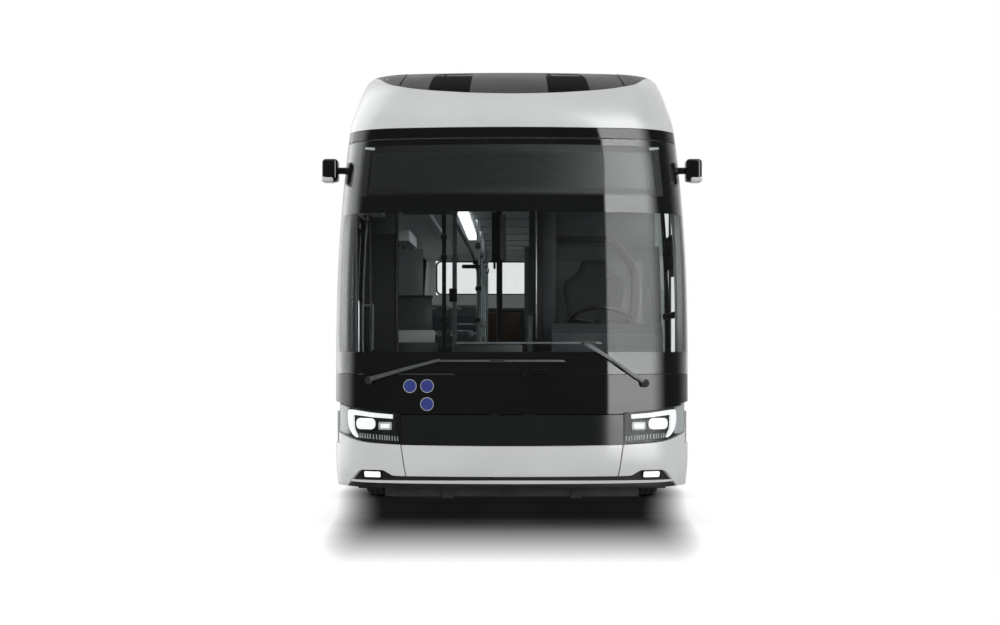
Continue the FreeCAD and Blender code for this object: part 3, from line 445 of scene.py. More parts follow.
def spots(tree, where, sizeMm, outside, within, a, b, **settings):
    # Dots in even rows, with their mask
    cells = addNode(tree, "ShaderNodeTexVoronoi", {
        "Vector": where, "Scale": perMetre(sizeMm), "Randomness": 0.0}, **settings)
    mask = addNode(tree, "ShaderNodeMapRange", {
        "Value": cells.outputs["Distance"], "From Min": outside, "From Max": within})
    return addNode(tree, "ShaderNodeMix", {0: mask, 6: a, 7: b}, data_type="RGBA").outputs[2], mask


def grainBump(tree, where, sizeMm, heightMm, detail=3.0):
    noise = addNode(tree, "ShaderNodeTexNoise", {"Vector": where, "Scale": perMetre(sizeMm), "Detail": detail})
    return addNode(tree, "ShaderNodeBump", {"Height": noise, "Distance": heightMm / 1000})


def plainFinish(name, a, b, roughness, patch=240, grain=None, bumpMm=0.0, coat=0.0, metallic=0.0, shine=0.5):
    # Opaque finish: two tones in patches, roughness with them, and a grain as bump
    material, tree, where = startMaterial(name)
    colour, share = twoTones(tree, where, patch, rgb(a), rgb(b))
    rough = addNode(tree, "ShaderNodeMapRange", {
        "Value": share, "To Min": roughness * 0.88, "To Max": roughness * 1.12})
    look = {"Base Color": colour, "Roughness": rough, "Metallic": metallic, "Coat Weight": coat,
            "Coat Roughness": 0.04, "Specular IOR Level": shine}
    if grain:
        look["Normal"] = grainBump(tree, where, grain, bumpMm)
    return closeMaterial(material, tree, addNode(tree, "ShaderNodeBsdfPrincipled", look))


def glassFinish(name, tint, headOn=0.04, most=1.0):
    # Pane: what is behind shows through its tint; it mirrors little head on and more at a slant
    material, tree, where = startMaterial(name)
    slant = addNode(tree, "ShaderNodeLayerWeight", {"Blend": 0.5}).outputs["Facing"]
    steep = addNode(tree, "ShaderNodeMath", {0: slant, 1: 5.0}, operation="POWER")
    fresnel = addNode(tree, "ShaderNodeMapRange", {"Value": steep, "To Min": headOn, "To Max": most})
    colour = twoTones(tree, where, 180, rgb(tint), rgb(tint, 0.985))[0]
    clear = addNode(tree, "ShaderNodeBsdfTransparent", {"Color": colour})
    mirror = addNode(tree, "ShaderNodeBsdfGlossy", {"Roughness": 0.004})
    return closeMaterial(material, tree, addNode(tree, "ShaderNodeMixShader", {0: fresnel, 1: clear, 2: mirror}))


def litFinish(name, colour, strength):
    # Lamp face that glows by itself over a milky plastic, a little uneven as behind a diffuser
    material, tree, where = startMaterial(name)
    glow = twoTones(tree, where, 25, rgb(colour), rgb(colour, 0.93))[0]
    return closeMaterial(material, tree, addNode(tree, "ShaderNodeBsdfPrincipled", {
        "Base Color": rgb("d8dcdc"), "Roughness": 0.3, "Emission Color": glow, "Emission Strength": strength}))


print("stage: materials")
# Two-pack acrylic paint, sprayed and baked on GRP and aluminium: bright, glossy, faint orange peel
whitePaint = plainFinish("TwoPackAcrylicWhite", "eceeee", "e6e8e8", 0.24, 420, 5, 0.02, coat=0.5)
# Toughened glass enamelled black behind: deep, almost mirror-like
blackGlass = plainFinish("EnamelledGlassBlack", "0e100f", "121413", 0.03, 600, 400, 0.04)
# Black acrylic paint over GRP, polished, a touch lighter than the glass
flapPaint = plainFinish("PolishedAcrylicBlack", "191b1b", "1e2020", 0.10, 500, 300, 0.03)
# Door leaves: black lacquered aluminium, a little softer than the glass
leafPaint = plainFinish("LacqueredAluminiumBlack", "141616", "191b1b", 0.12, 400, 200, 0.02)
# Injection-moulded ABS, black, with a fine leathery tool grain
blackAbs = plainFinish("MouldedAbsBlack", "1b1c1c", "222323", 0.5, 120, 1.6, 0.08)
# Glass-fibre moulding sprayed satin dark grey, as on the roof's front
satinGrp = plainFinish("SatinGrpDarkGrey", "2a2b2b", "303131", 0.42, 260, 3, 0.03)
# EPDM rubber of seals and blades: dull and black
sealRubber = plainFinish("EpdmRubber", "0e0e0e", "131313", 0.78, 60, 2, 0.05, shine=0.2)
# Powder-coated steel of frames and axles: satin, slightly pebbled, dusty
powderSteel = plainFinish("PowderCoatedSteel", "26282a", "34363a", 0.48, 180, 2.5, 0.06)
# Electrocoated steel of the wiper arms
satinGrey = plainFinish("ElectrocoatedSteelGrey", "55585a", "5f6264", 0.35, 60, 2, 0.02)
# Cast iron hubs and drums, painted grey, rough from the sand mould
castIron = plainFinish("PaintedCastIron", "3b3d3f", "4b4d50", 0.6, 40, 1.8, 0.25)
# Forged aluminium wheel, machined: satin sheen
wheelAlloy = plainFinish("ForgedAluminiumSilver", "a9adb0", "b9bdc0", 0.32, 60, 4, 0.01, metallic=1.0)
# Stainless tube of rails, brushed
brushedSteel = plainFinish("BrushedStainless", "a4a8aa", "b2b6b8", 0.34, 60, 12, 0.01, metallic=1.0)
# Powder-coated rails of the entrance, mid grey
greyTube = plainFinish("PowderCoatedTubeGrey", "6c6f70", "767a7b", 0.34, 80, 2, 0.03)
# Natural anodised aluminium of frames and sills
anodised = plainFinish("AnodisedAluminium", "8e9295", "9a9ea1", 0.4, 80, 10, 0.01, metallic=1.0)
# Powder-coated aluminium housings on the roof, light grey
housingGrey = plainFinish("PowderCoatedAluminiumGrey", "8b8f91", "979b9d", 0.5, 260, 2.5, 0.05)
# Natural rubber air bellows, matt with bloom
bellowsRubber = plainFinish("BellowsRubber", "1d1d1e", "29292a", 0.8, 30, 3, 0.1)
# Melamine laminate and moulded trim of the saloon, pale grey
liningGrey = plainFinish("LaminateLightGrey", "b9bdbd", "c3c7c7", 0.46, 300, 2, 0.03)
# Darker laminate of the cab and its partition
cabGrey = plainFinish("LaminateGraphite", "35383a", "3d4042", 0.5, 220, 2, 0.04)
# Walnut-brown laminate behind the rear bench
brownLaminate = plainFinish("LaminateWalnut", "2c1d0c", "352411", 0.5, 90, 4, 0.04)
# Smoked polycarbonate behind the driver, and frosted polycarbonate against the draught
smokedScreen = plainFinish("SmokedPolycarbonateScreen", "4b4e4d", "545756", 0.3, 300, 6, 0.02)
frostedScreen = plainFinish("FrostedPolycarbonateScreen", "767b7b", "828787", 0.35, 400, 3, 0.02)
# Woven polyester cover of the driver's seat
cabCloth = plainFinish("PolyesterWeaveGraphite", "2a2c2d", "323435", 0.85, 60, 3, 0.5)
# Two layers of glass with a clear film between, faintly green
screenGlass = glassFinish("LaminatedClearGlass", "fafbfb", headOn=0.017)
# Toughened side glass with a grey body tint
sideGlass = glassFinish("ToughenedGreyGlass", "b4bab8", most=0.2)
# Rear pane and cab window, clear
clearGlass = glassFinish("ToughenedClearGlass", "fafbfb", most=0.08)
# Clear polycarbonate lamp cover, hard-coated
lampLens = glassFinish("ClearPolycarbonate", "f8f9f9", headOn=0.01, most=0.5)
# Diffusers of the front lamps and of the ceiling's light strips, lit
ledWhite = litFinish("LedDiffuserWhite", "ffffff", 0.75)
stripLight = litFinish("LedStripDiffuser", "f6faff", 2.2)
# Retroreflective vinyl of the blank sign plates
signBlue = plainFinish("VinylSignBlue", "2c3c8c", "31429a", 0.4, 20, 1, 0.01)
signWhite = plainFinish("VinylSignWhite", "dfe2e2", "d6d9d9", 0.4, 20, 1, 0.01)
# Dyed polycarbonate of tail, turn and reversing lamps and buttons, moulded with fine prisms behind
redLens = plainFinish("RedPolycarbonate", "8e0f10", "a31415", 0.12, 14, 6, 0.3, coat=0.6)
amberLens = plainFinish("AmberPolycarbonate", "c0641a", "cf7420", 0.12, 14, 6, 0.3, coat=0.6)
clearLens = plainFinish("FrostedPolycarbonate", "cfd3d4", "dcdfe0", 0.14, 14, 6, 0.3, coat=0.6)
greenLens = plainFinish("GreenPolycarbonate", "2c7a45", "338a50", 0.2, 14, 6, 0.2, coat=0.4)
# Cross-linked polyethylene of traction cables, signal orange
cableOrange = plainFinish("CableSheathOrange", "c85a12", "d46418", 0.5, 60, 3, 0.05)


def bandedWallFinish():
    # Side of the body: white paint, a gloss black window band, and grey lining on the inner face
    band = dict(low=1.08, high=2.56, edge=0.001)
    material, tree, where = startMaterial("PaintedSideWithBlackBand")
    place = addNode(tree, "ShaderNodeSeparateXYZ", {0: where}).outputs
    up = addNode(tree, "ShaderNodeMapRange", {
        "Value": place[2], "From Min": band["low"] - band["edge"], "From Max": band["low"] + band["edge"]})
    down = addNode(tree, "ShaderNodeMapRange", {
        "Value": place[2], "From Min": band["high"] + band["edge"], "From Max": band["high"] - band["edge"]})
    inBand = addNode(tree, "ShaderNodeMath", {0: up, 1: down}, operation="MULTIPLY")
    normal = addNode(tree, "ShaderNodeSeparateXYZ", {0: addNode(tree, "ShaderNodeNewGeometry").outputs["True Normal"]})
    facing = addNode(tree, "ShaderNodeMath", {0: normal, 1: place[0]}, operation="MULTIPLY")
    inner = addNode(tree, "ShaderNodeMath", {0: facing, 1: -0.5}, operation="LESS_THAN")
    white = twoTones(tree, where, 420, rgb("eceeee"), rgb("e6e8e8"))[0]
    lining = twoTones(tree, where, 300, rgb("b9bdbd"), rgb("c3c7c7"))[0]
    outside = addNode(tree, "ShaderNodeMix", {0: inBand, 6: white, 7: rgb("101211")}, data_type="RGBA").outputs[2]
    colour = addNode(tree, "ShaderNodeMix", {0: inner, 6: outside, 7: lining}, data_type="RGBA").outputs[2]
    outRough = addNode(tree, "ShaderNodeMapRange", {"Value": inBand, "To Min": 0.22, "To Max": 0.08})
    rough = addNode(tree, "ShaderNodeMix", {0: inner, 2: outRough, 3: 0.46}, data_type="FLOAT")
    return closeMaterial(material, tree, addNode(tree, "ShaderNodeBsdfPrincipled", {
        "Base Color": colour, "Roughness": rough, "Coat Weight": 0.3, "Coat Roughness": 0.05,
        "Normal": grainBump(tree, where, 5, 0.02)}))


def fleckedVinylFinish():
    # Safety vinyl floor: dark grey with pale and blue flecks 3 to 5 mm wide, slip-resistant grit
    material, tree, where = startMaterial("FleckedSafetyVinyl")
    ground = twoTones(tree, where, 350, rgb("4a4e52"), rgb("54585c"))[0]
    flecks = addNode(tree, "ShaderNodeTexVoronoi", {"Vector": where, "Scale": perMetre(9)}).outputs
    spot = addNode(tree, "ShaderNodeMapRange", {"Value": flecks["Distance"], "From Min": 0.26, "From Max": 0.20})
    tone = addNode(tree, "ShaderNodeSeparateColor", {0: flecks["Color"]})
    pale = addNode(tree, "ShaderNodeMix", {0: tone, 6: rgb("9aa4b0"), 7: rgb("c4c8c8")}, data_type="RGBA").outputs[2]
    colour = addNode(tree, "ShaderNodeMix", {0: spot, 6: ground, 7: pale}, data_type="RGBA").outputs[2]
    return closeMaterial(material, tree, addNode(tree, "ShaderNodeBsdfPrincipled", {
        "Base Color": colour, "Roughness": 0.62, "Normal": grainBump(tree, where, 1.5, 0.2, 2.0)}))


def moquetteFinish():
    # Cut-pile wool moquette: blue-grey ground with small paler diamonds every 60 mm, soft sheen of the
    # pile. The real pile is 1 mm; it is drawn at 3 mm so that it shows
    material, tree, where = startMaterial("WoolMoquetteBlueGrey")
    ground = twoTones(tree, where, 90, rgb("22262c"), rgb("292e35"))[0]
    colour = spots(tree, where, 60, 0.24, 0.20, ground, rgb("444d59"), distance="MANHATTAN")[0]
    return closeMaterial(material, tree, addNode(tree, "ShaderNodeBsdfPrincipled", {
        "Base Color": colour, "Roughness": 0.9, "Sheen Weight": 0.35, "Sheen Roughness": 0.4,
        "Normal": grainBump(tree, where, 3, 0.8, 2.0)}))


def displayFinish():
    # LED matrix behind smoked glass, unlit: rows of tiny lamps 10 mm apart show as faint dots
    material, tree, where = startMaterial("SmokedLedMatrix")
    colour = spots(tree, where, 10, 0.42, 0.30, rgb("2a2c2c"), rgb("363836"))[0]
    return closeMaterial(material, tree, addNode(tree, "ShaderNodeBsdfPrincipled", {
        "Base Color": colour, "Roughness": 0.3}))


def wireMeshFinish():
    # Woven steel wire, black: holes 6 mm wide are near-black dots between dull wires, painted shade of the dark space
    # behind the mesh
    material, tree, where = startMaterial("WovenWireBlack")
    colour, hole = spots(tree, where, 9, 0.36, 0.30, rgb("0d0e0e"), rgb("030303"))
    bump = addNode(tree, "ShaderNodeBump", {"Height": hole, "Distance": 0.002}, invert=True)
    return closeMaterial(material, tree, addNode(tree, "ShaderNodeBsdfPrincipled", {
        "Base Color": colour, "Roughness": 0.8, "Specular IOR Level": 0.1, "Normal": bump}))


def tyreFinish():
    # Vulcanised rubber: near black, a little greyer in random patches as with road dust
    material, tree, where = startMaterial("VulcanisedTyreRubber")
    return closeMaterial(material, tree, addNode(tree, "ShaderNodeBsdfPrincipled", {
        "Base Color": twoTones(tree, where, 45, rgb("1c1c1c"), rgb("2a2a29"))[0], "Roughness": 0.78,
        "Normal": grainBump(tree, where, 2.5, 0.3, 4.0)}))


sidePaint = bandedWallFinish()
vinylFloor = fleckedVinylFinish()
moquette = moquetteFinish()
ledMatrix = displayFinish()
tyreRubber = tyreFinish()
wireMesh = wireMeshFinish()


smoothStep = dict(interpolation_type="SMOOTHSTEP")


def studioLight():
    # Pale dome, dimmer ahead and overhead, for matt surfaces. Mirrors see dark flags ahead, one tall
    # softbox on the driver's side and a bright wall on the entrance side
    rig = dict(skyAround=1.22, skyAhead=0.26, skyLow=1.75, skyTop=0.24, front=0.10, leftSide=2.0, rightSide=0.5,
               rear=0.8, softbox=6.2, boxStart=21.4, boxFull=37, boxEnd=75, sideStart=80, sideFull=106,
               rightStart=104, rightFull=135, rearStart=140, rearFull=165, lightUp=48, lightUpFull=74, top=0.85,
               under=0.10)
    turnOf = {key: radians(value) for key, value in rig.items()}
    world = bpy.data.worlds.new("studio")
    bpy.context.scene.world = world
    world.use_nodes = True
    tree = world.node_tree
    tree.nodes.clear()
    axes = addNode(tree, "ShaderNodeSeparateXYZ", {0: addNode(tree, "ShaderNodeTexCoord").outputs["Generated"]}).outputs
    ahead = addNode(tree, "ShaderNodeMath", {0: axes[1], 1: -1.0}, operation="MULTIPLY")
    turn = addNode(tree, "ShaderNodeMath", {0: axes[0], 1: ahead}, operation="ARCTAN2")
    away = addNode(tree, "ShaderNodeMath", {0: turn}, operation="ABSOLUTE")
    left = addNode(tree, "ShaderNodeMapRange", {
        "Value": turn, "From Min": -turnOf["sideStart"], "From Max": -turnOf["sideFull"],
        "To Min": rig["front"], "To Max": rig["leftSide"]}, **smoothStep)
    right = addNode(tree, "ShaderNodeMapRange", {
        "Value": turn, "From Min": turnOf["rightStart"], "From Max": turnOf["rightFull"],
        "To Min": rig["front"], "To Max": rig["rightSide"]}, **smoothStep)
    side = addNode(tree, "ShaderNodeMath", {0: left, 1: right}, operation="MAXIMUM")
    behind = addNode(tree, "ShaderNodeMapRange", {
        "Value": away, "From Min": turnOf["rearStart"], "From Max": turnOf["rearFull"]}, **smoothStep)
    side = addNode(tree, "ShaderNodeMix", {0: behind, 2: side, 3: rig["rear"]}, data_type="FLOAT")
    edge = addNode(tree, "ShaderNodeMapRange", {
        "Value": turn, "From Min": turnOf["boxStart"], "From Max": radians(rig["boxStart"] + 0.6)})
    fade = addNode(tree, "ShaderNodeMapRange", {
        "Value": turn, "From Min": turnOf["boxEnd"], "From Max": turnOf["boxFull"], "To Max": rig["softbox"]},
        **smoothStep)
    box = addNode(tree, "ShaderNodeMath", {0: edge, 1: fade}, operation="MULTIPLY")
    level = addNode(tree, "ShaderNodeMath", {0: side, 1: box}, operation="ADD")
    high = addNode(tree, "ShaderNodeMapRange", {
        "Value": axes[2], "From Min": sin(turnOf["lightUp"]), "From Max": sin(turnOf["lightUpFull"])}, **smoothStep)
    mirrored = addNode(tree, "ShaderNodeMix", {0: high, 2: level, 3: rig["top"]}, data_type="FLOAT")
    below = addNode(tree, "ShaderNodeMapRange", {"Value": axes[2], "From Min": -0.02, "From Max": -0.3})
    mirrored = addNode(tree, "ShaderNodeMix", {0: below, 2: mirrored, 3: rig["under"]}, data_type="FLOAT")
    around = addNode(tree, "ShaderNodeMapRange", {
        "Value": ahead, "From Min": 0.35, "From Max": 0.9, "To Min": rig["skyAround"], "To Max": rig["skyAhead"]},
        **smoothStep)
    lowDown = addNode(tree, "ShaderNodeMapRange", {"Value": axes[2], "From Min": 0.38, "From Max": 0.18}, **smoothStep)
    around = addNode(tree, "ShaderNodeMix", {0: lowDown, 2: around, 3: rig["skyLow"]}, data_type="FLOAT")
    overhead = addNode(tree, "ShaderNodeMapRange", {"Value": axes[2], "From Min": 0.3, "From Max": 0.9}, **smoothStep)
    soft = addNode(tree, "ShaderNodeMix", {0: overhead, 2: around, 3: rig["skyTop"]}, data_type="FLOAT")
    path = addNode(tree, "ShaderNodeLightPath").outputs
    light = addNode(tree, "ShaderNodeMix", {0: path["Is Glossy Ray"], 2: soft, 3: mirrored}, data_type="FLOAT")
    seen = addNode(tree, "ShaderNodeMix", {0: path["Is Camera Ray"], 2: light, 3: 1.0}, data_type="FLOAT")
    background = addNode(tree, "ShaderNodeBackground", {"Color": (1.0, 1.0, 1.0, 1.0), "Strength": seen})
    addNode(tree, "ShaderNodeOutputWorld", {"Surface": background})


def studioFloor():
    # White to the camera with a soft painted shadow under the bus, which falls ahead of it as in the
    # photographer's studio and is set by where a point lies on the floor, darkened further near the bus by ambient
    # occlusion; plain matt white to all else
    material, tree, where = startMaterial("StudioPaperWithPaintedShadow")
    spot = addNode(tree, "ShaderNodeSeparateXYZ", {0: where}).outputs
    wide = addNode(tree, "ShaderNodeMath", {0: spot[0]}, operation="ABSOLUTE")
    edge = addNode(tree, "ShaderNodeMapRange", {
        "Value": spot[1], "From Min": frontY + 0.9, "From Max": frontY + 3.0, "To Min": 0.95, "To Max": 1.14})
    past = addNode(tree, "ShaderNodeMath", {0: wide, 1: edge}, operation="SUBTRACT")
    beside = addNode(tree, "ShaderNodeMapRange", {"Value": past, "From Max": 0.37})
    ahead = addNode(tree, "ShaderNodeMapRange", {
        "Value": spot[1], "From Min": frontY + 1.0, "From Max": frontY - 1.75})
    behind = addNode(tree, "ShaderNodeMapRange", {
        "Value": spot[1], "From Min": rearY - 0.8, "From Max": rearY + 0.9})
    along = addNode(tree, "ShaderNodeMath", {0: ahead, 1: behind}, operation="MAXIMUM")
    reach = addNode(tree, "ShaderNodeCombineXYZ", {0: beside, 1: along})
    clearing = addNode(tree, "ShaderNodeVectorMath", {0: reach, 1: reach}, operation="DOT_PRODUCT").outputs["Value"]
    # Painted shadow: the floor's glow goes dark under the bus and ahead of its front by position alone, not by any lamp
    cast = addNode(tree, "ShaderNodeMapRange", {"Value": clearing, "To Min": 0.012, "To Max": 1.0})
    # Painted contact shade: ambient occlusion near the bus darkens the glow further
    contact = addNode(tree, "ShaderNodeAmbientOcclusion", {"Distance": 0.35}, samples=24).outputs["AO"]
    tone = addNode(tree, "ShaderNodeMath", {0: contact, 1: cast}, operation="MULTIPLY")
    paper = addNode(tree, "ShaderNodeEmission", {"Strength": tone})
    matt = addNode(tree, "ShaderNodeBsdfDiffuse", {"Color": rgb("f0f0f0")})
    camera = addNode(tree, "ShaderNodeLightPath").outputs["Is Camera Ray"]
    closeMaterial(material, tree, addNode(tree, "ShaderNodeMixShader", {0: camera, 1: matt, 2: paper}))
    bm = bmesh.new()
    bmesh.ops.create_grid(bm, x_segments=1, y_segments=1, size=60)
    floorPiece = finishMesh("studio_floor", bm, material, body=None)
    floorPiece.visible_glossy = False


def saloonLamps():
    # Saloon and cab lamps: wide soft panels under the ceilings
    for name, place, size, turn, energy in (
            ("saloon_glow", (0.0, 1.2, 2.44), (1.9, 7.4), (0, 0, 0), 26.0),
            ("cab_glow", (0.1, -5.15, 2.16), (1.8, 0.3), (radians(35), 0, 0), 2.2)):
        lamp = bpy.data.lights.new(name, "AREA")
        lamp.shape = "RECTANGLE"
        lamp.size, lamp.size_y = size
        lamp.energy = energy
        holder = bpy.data.objects.new(name, lamp)
        holder.location = place
        holder.rotation_euler = turn
        holder.visible_camera = False
        holder.visible_glossy = False
        bpy.context.scene.collection.objects.link(holder)


def photographersCamera():
    # Where the photographer stood: straight ahead of the bus, at chest height, with a long lens
    stand = dict(place=(0.0, -17.733, 1.32), lens=60.95, shiftX=-0.012, shiftY=0.0275)
    data = bpy.data.cameras.new("photographers_camera")
    data.lens = stand["lens"]
    data.sensor_width = 36
    data.shift_x = stand["shiftX"]
    data.shift_y = stand["shiftY"]
    data.clip_end = 200
    camera = bpy.data.objects.new("photographers_camera", data)
    camera.location = stand["place"]
    camera.rotation_euler = (pi / 2, 0, 0)
    bpy.context.scene.collection.objects.link(camera)
    bpy.context.scene.camera = camera
    bpy.context.scene.view_settings.view_transform = "Standard"


print("stage: camera and studio")
photographersCamera()
studioLight()
studioFloor()
saloonLamps()


print("stage: front")
front = dict(
    capLow=2.826, capTop=3.308, glassTop=2.746, glassLow=1.082, panelLow=0.803, clearLow=1.236, clearHigh=2.222,
    pillarS=1.475, halfRound=1.528, capReach=0.26, smileHalf=1.32, tuck=0.03, visorTop=3.298,
)
smileEdge = smoothLine([(0.0, 3.084), (0.25, 3.089), (0.453, 3.098), (0.722, 3.118), (0.91, 3.140), (0.997, 3.158),
                        (1.089, 3.186), (1.15, 3.217), (1.239, 3.272), (1.32, 3.304)])
lampTop = smoothLine([(0.796, 0.8095), (0.843, 0.8105), (1.024, 0.826), (1.150, 0.846), (1.235, 0.858),
                      (1.338, 0.871), (1.528, 0.881), (1.66, 0.884)], 4)
lampLow = smoothLine([(1.337, 0.664), (1.262, 0.648), (1.205, 0.632), (1.102, 0.611), (0.973, 0.599),
                      (0.789, 0.590)], 4)


def smileZ(s):
    # Sagging upper edge of the white cap
    a = abs(s)
    for (s0, z0), (s1, z1) in zip(smileEdge, smileEdge[1:]):
        if a <= s1:
            return z0 + (z1 - z0) * (a - s0) / (s1 - s0)
    return smileEdge[-1][1]


def capEdge(u):
    s = uToS(u)
    return smileZ(s) if abs(s) < front["smileHalf"] else front["capTop"]


def visorEdge(u):
    return min(smileZ(uToS(u)), front["visorTop"]) - front["tuck"]


def sideU(z):
    # Where the front mouldings end: at the mask's back edge, and further back above the side walls
    high = min(1.0, max(0.0, (z - front["capLow"]) / 0.028))
    return onLeft(z, maskY + high * front["capReach"])


def frontSkin(name, material, slot, low, high, node, inset=0.0, thick=0.012, cols=96, rows=14, bevel=0.003):
    panel(name, material, slot, lambda z: -sideU(z), sideU, low, high, inset, thick, cols, rows, bevel, node)


def capAndGlass():
    f = front
    frontSkin("cap_moulding", whitePaint, "white_paint", f["capLow"], capEdge, "front_cap", thick=0.03,
              cols=120, rows=16)
    frontSkin("visor_moulding", satinGrp, "dark_trim", visorEdge, f["capTop"], "roof_visor", 0.014, 0.02, rows=10)
    tipLine = [p for p in smileEdge if p[0] > 1.0]
    skinPlate("visor_tips", satinGrp, [tipLine + [(1.20, 3.3065), (1.0, 3.3065)]], -0.0012, 0.002, 0,
              both=True)
    frontSkin("windscreen_pane", screenGlass, "glass", f["glassLow"], f["glassTop"], "windscreen", thick=0.006,
              cols=110, rows=22, bevel=0.001)
    frontSkin("head_band_glass", blackGlass, "black_gloss", f["glassTop"] + 0.004, f["capLow"] - 0.004, "head_band",
              thick=0.02, rows=4, bevel=0.004)


def visorGrilles():
    # Two air inlets with a dark woven mesh in the visor, rounded at their upper outer corner
    inlet = dict(left=(-0.372, -0.745), right=(0.318, 0.690), top=3.292, low=0.006, corner=0.075)
    for name in ("left", "right"):
        near, far = inlet[name]
        lower = [(s, smileZ(s) + inlet["low"]) for s in spread(near, far, 12)]
        sign, r = -1 if far < near else 1, inlet["corner"]
        rounded = [(far - sign * r * (1 - cos(radians(a))), inlet["top"] - r * (1 - sin(radians(a))))
                   for a in (0, 22, 45, 67, 90)]
        shape = lower + rounded + [(near, inlet["top"])]
        skinPlate("visor_inlet_" + name, wireMesh, [shape if sign > 0 else shape[::-1]], 0.0105, 0.005,
                  0.001)


def screenSurround():
    # Black enamel border behind the glass: header, lower band and slim pillars
    edge = dict(inset=0.0125, thick=0.012)
    f = front
    end = uOfS(f["halfRound"] + 0.105)
    near = uOfS(f["pillarS"])
    panel("screen_header", blackGlass, "black_gloss", -end, end, f["clearHigh"], f["glassTop"] - 0.001, cols=90,
          node="screen_frame", **edge)
    panel("screen_lower_band", blackGlass, "black_gloss", -end, end, f["glassLow"] + 0.001, f["clearLow"], cols=90,
          **edge)
    for name, sign in (("left", -1), ("right", 1)):
        panel("screen_pillar_" + name, blackAbs, "black_gloss", sign * near, sign * end, f["clearLow"], f["clearHigh"],
              cols=8, rows=24, **edge)


def destinationDisplay():
    # LED matrix box in the header, in a thin frame, with a bright clip at each end
    sign = dict(low=2.395, high=2.650, half=1.075, rows=8, columns=9, seamHalf=0.0012, postHalf=0.0015)
    low, high, half = sign["low"], sign["high"], sign["half"]
    skinPlate("sign_recess", blackAbs, [rect(-1.16, 1.16, 2.345, 2.70)], 0.0118, 0.0006, 0)
    skinPlate("sign_matrix", ledMatrix, [rect(-half, half, low, high)], 0.0108, 0.0009, 0,
              node="destination_sign")
    lines = [rect(-half, half, z - sign["seamHalf"], z + sign["seamHalf"])
             for z in spread(low, high, sign["rows"])[1:-1]]
    lines += [rect(s - sign["postHalf"], s + sign["postHalf"], low, high)
              for s in spread(-half, half, sign["columns"])[1:-1]]
    skinPlate("sign_module_seams", blackAbs, lines, 0.0102, 0.0005, 0)
    skinPlate("sign_clips", signWhite, [[(1.075, 2.672), (1.165, 2.684), (1.165, 2.700), (1.075, 2.690)]],
              0.0104, 0.001, 0, both=True)
    rules = [rect(-1.10, 1.10, 2.350, 2.355), rect(1.094, 1.10, 2.355, 2.67), rect(-1.10, -1.094, 2.355, 2.67)]
    skinPlate("sign_frame", blackGlass, rules, 0.0102, 0.0012, 0)


def maskPanel():
    # Gloss black panel below the glass, its lower edge rising over the lamps to the corners
    def lowEdge(u):
        s = abs(uToS(u)) if abs(u) <= 2 else front["halfRound"] + (abs(u) - 2) * sideLength
        if s < 0.79:
            return front["panelLow"]
        for a, b in zip(lampTop, lampTop[1:]):
            if s <= b[0]:
                return a[1] + (b[1] - a[1]) * max(0.0, (s - a[0])) / (b[0] - a[0]) + 0.003
        return lampTop[-1][1] + 0.003

    frontSkin("mask_panel", blackGlass, "black_gloss", lowEdge, front["glassLow"] - 0.003, "front_panel", thick=0.03,
              cols=150, rows=8, bevel=0.004)


def blankSigns():
    # Three round plates, left blank: blue film with a thin pale rim
    disc = dict(radius=0.047, rim=0.0035, places=((-0.717, 0.998), (-0.595, 0.999), (-0.595, 0.873)))
    for index, at in enumerate(disc["places"]):
        for name, r, material, inset in (("rim", disc["radius"], signWhite, -0.0008),
                                         ("face", disc["radius"] - disc["rim"], signBlue, -0.0014)):
            skinPlate("blank_sign_%d_%s" % (index + 1, name), material, [circle(*at, r, 40)], inset,
                      0.001, 0)


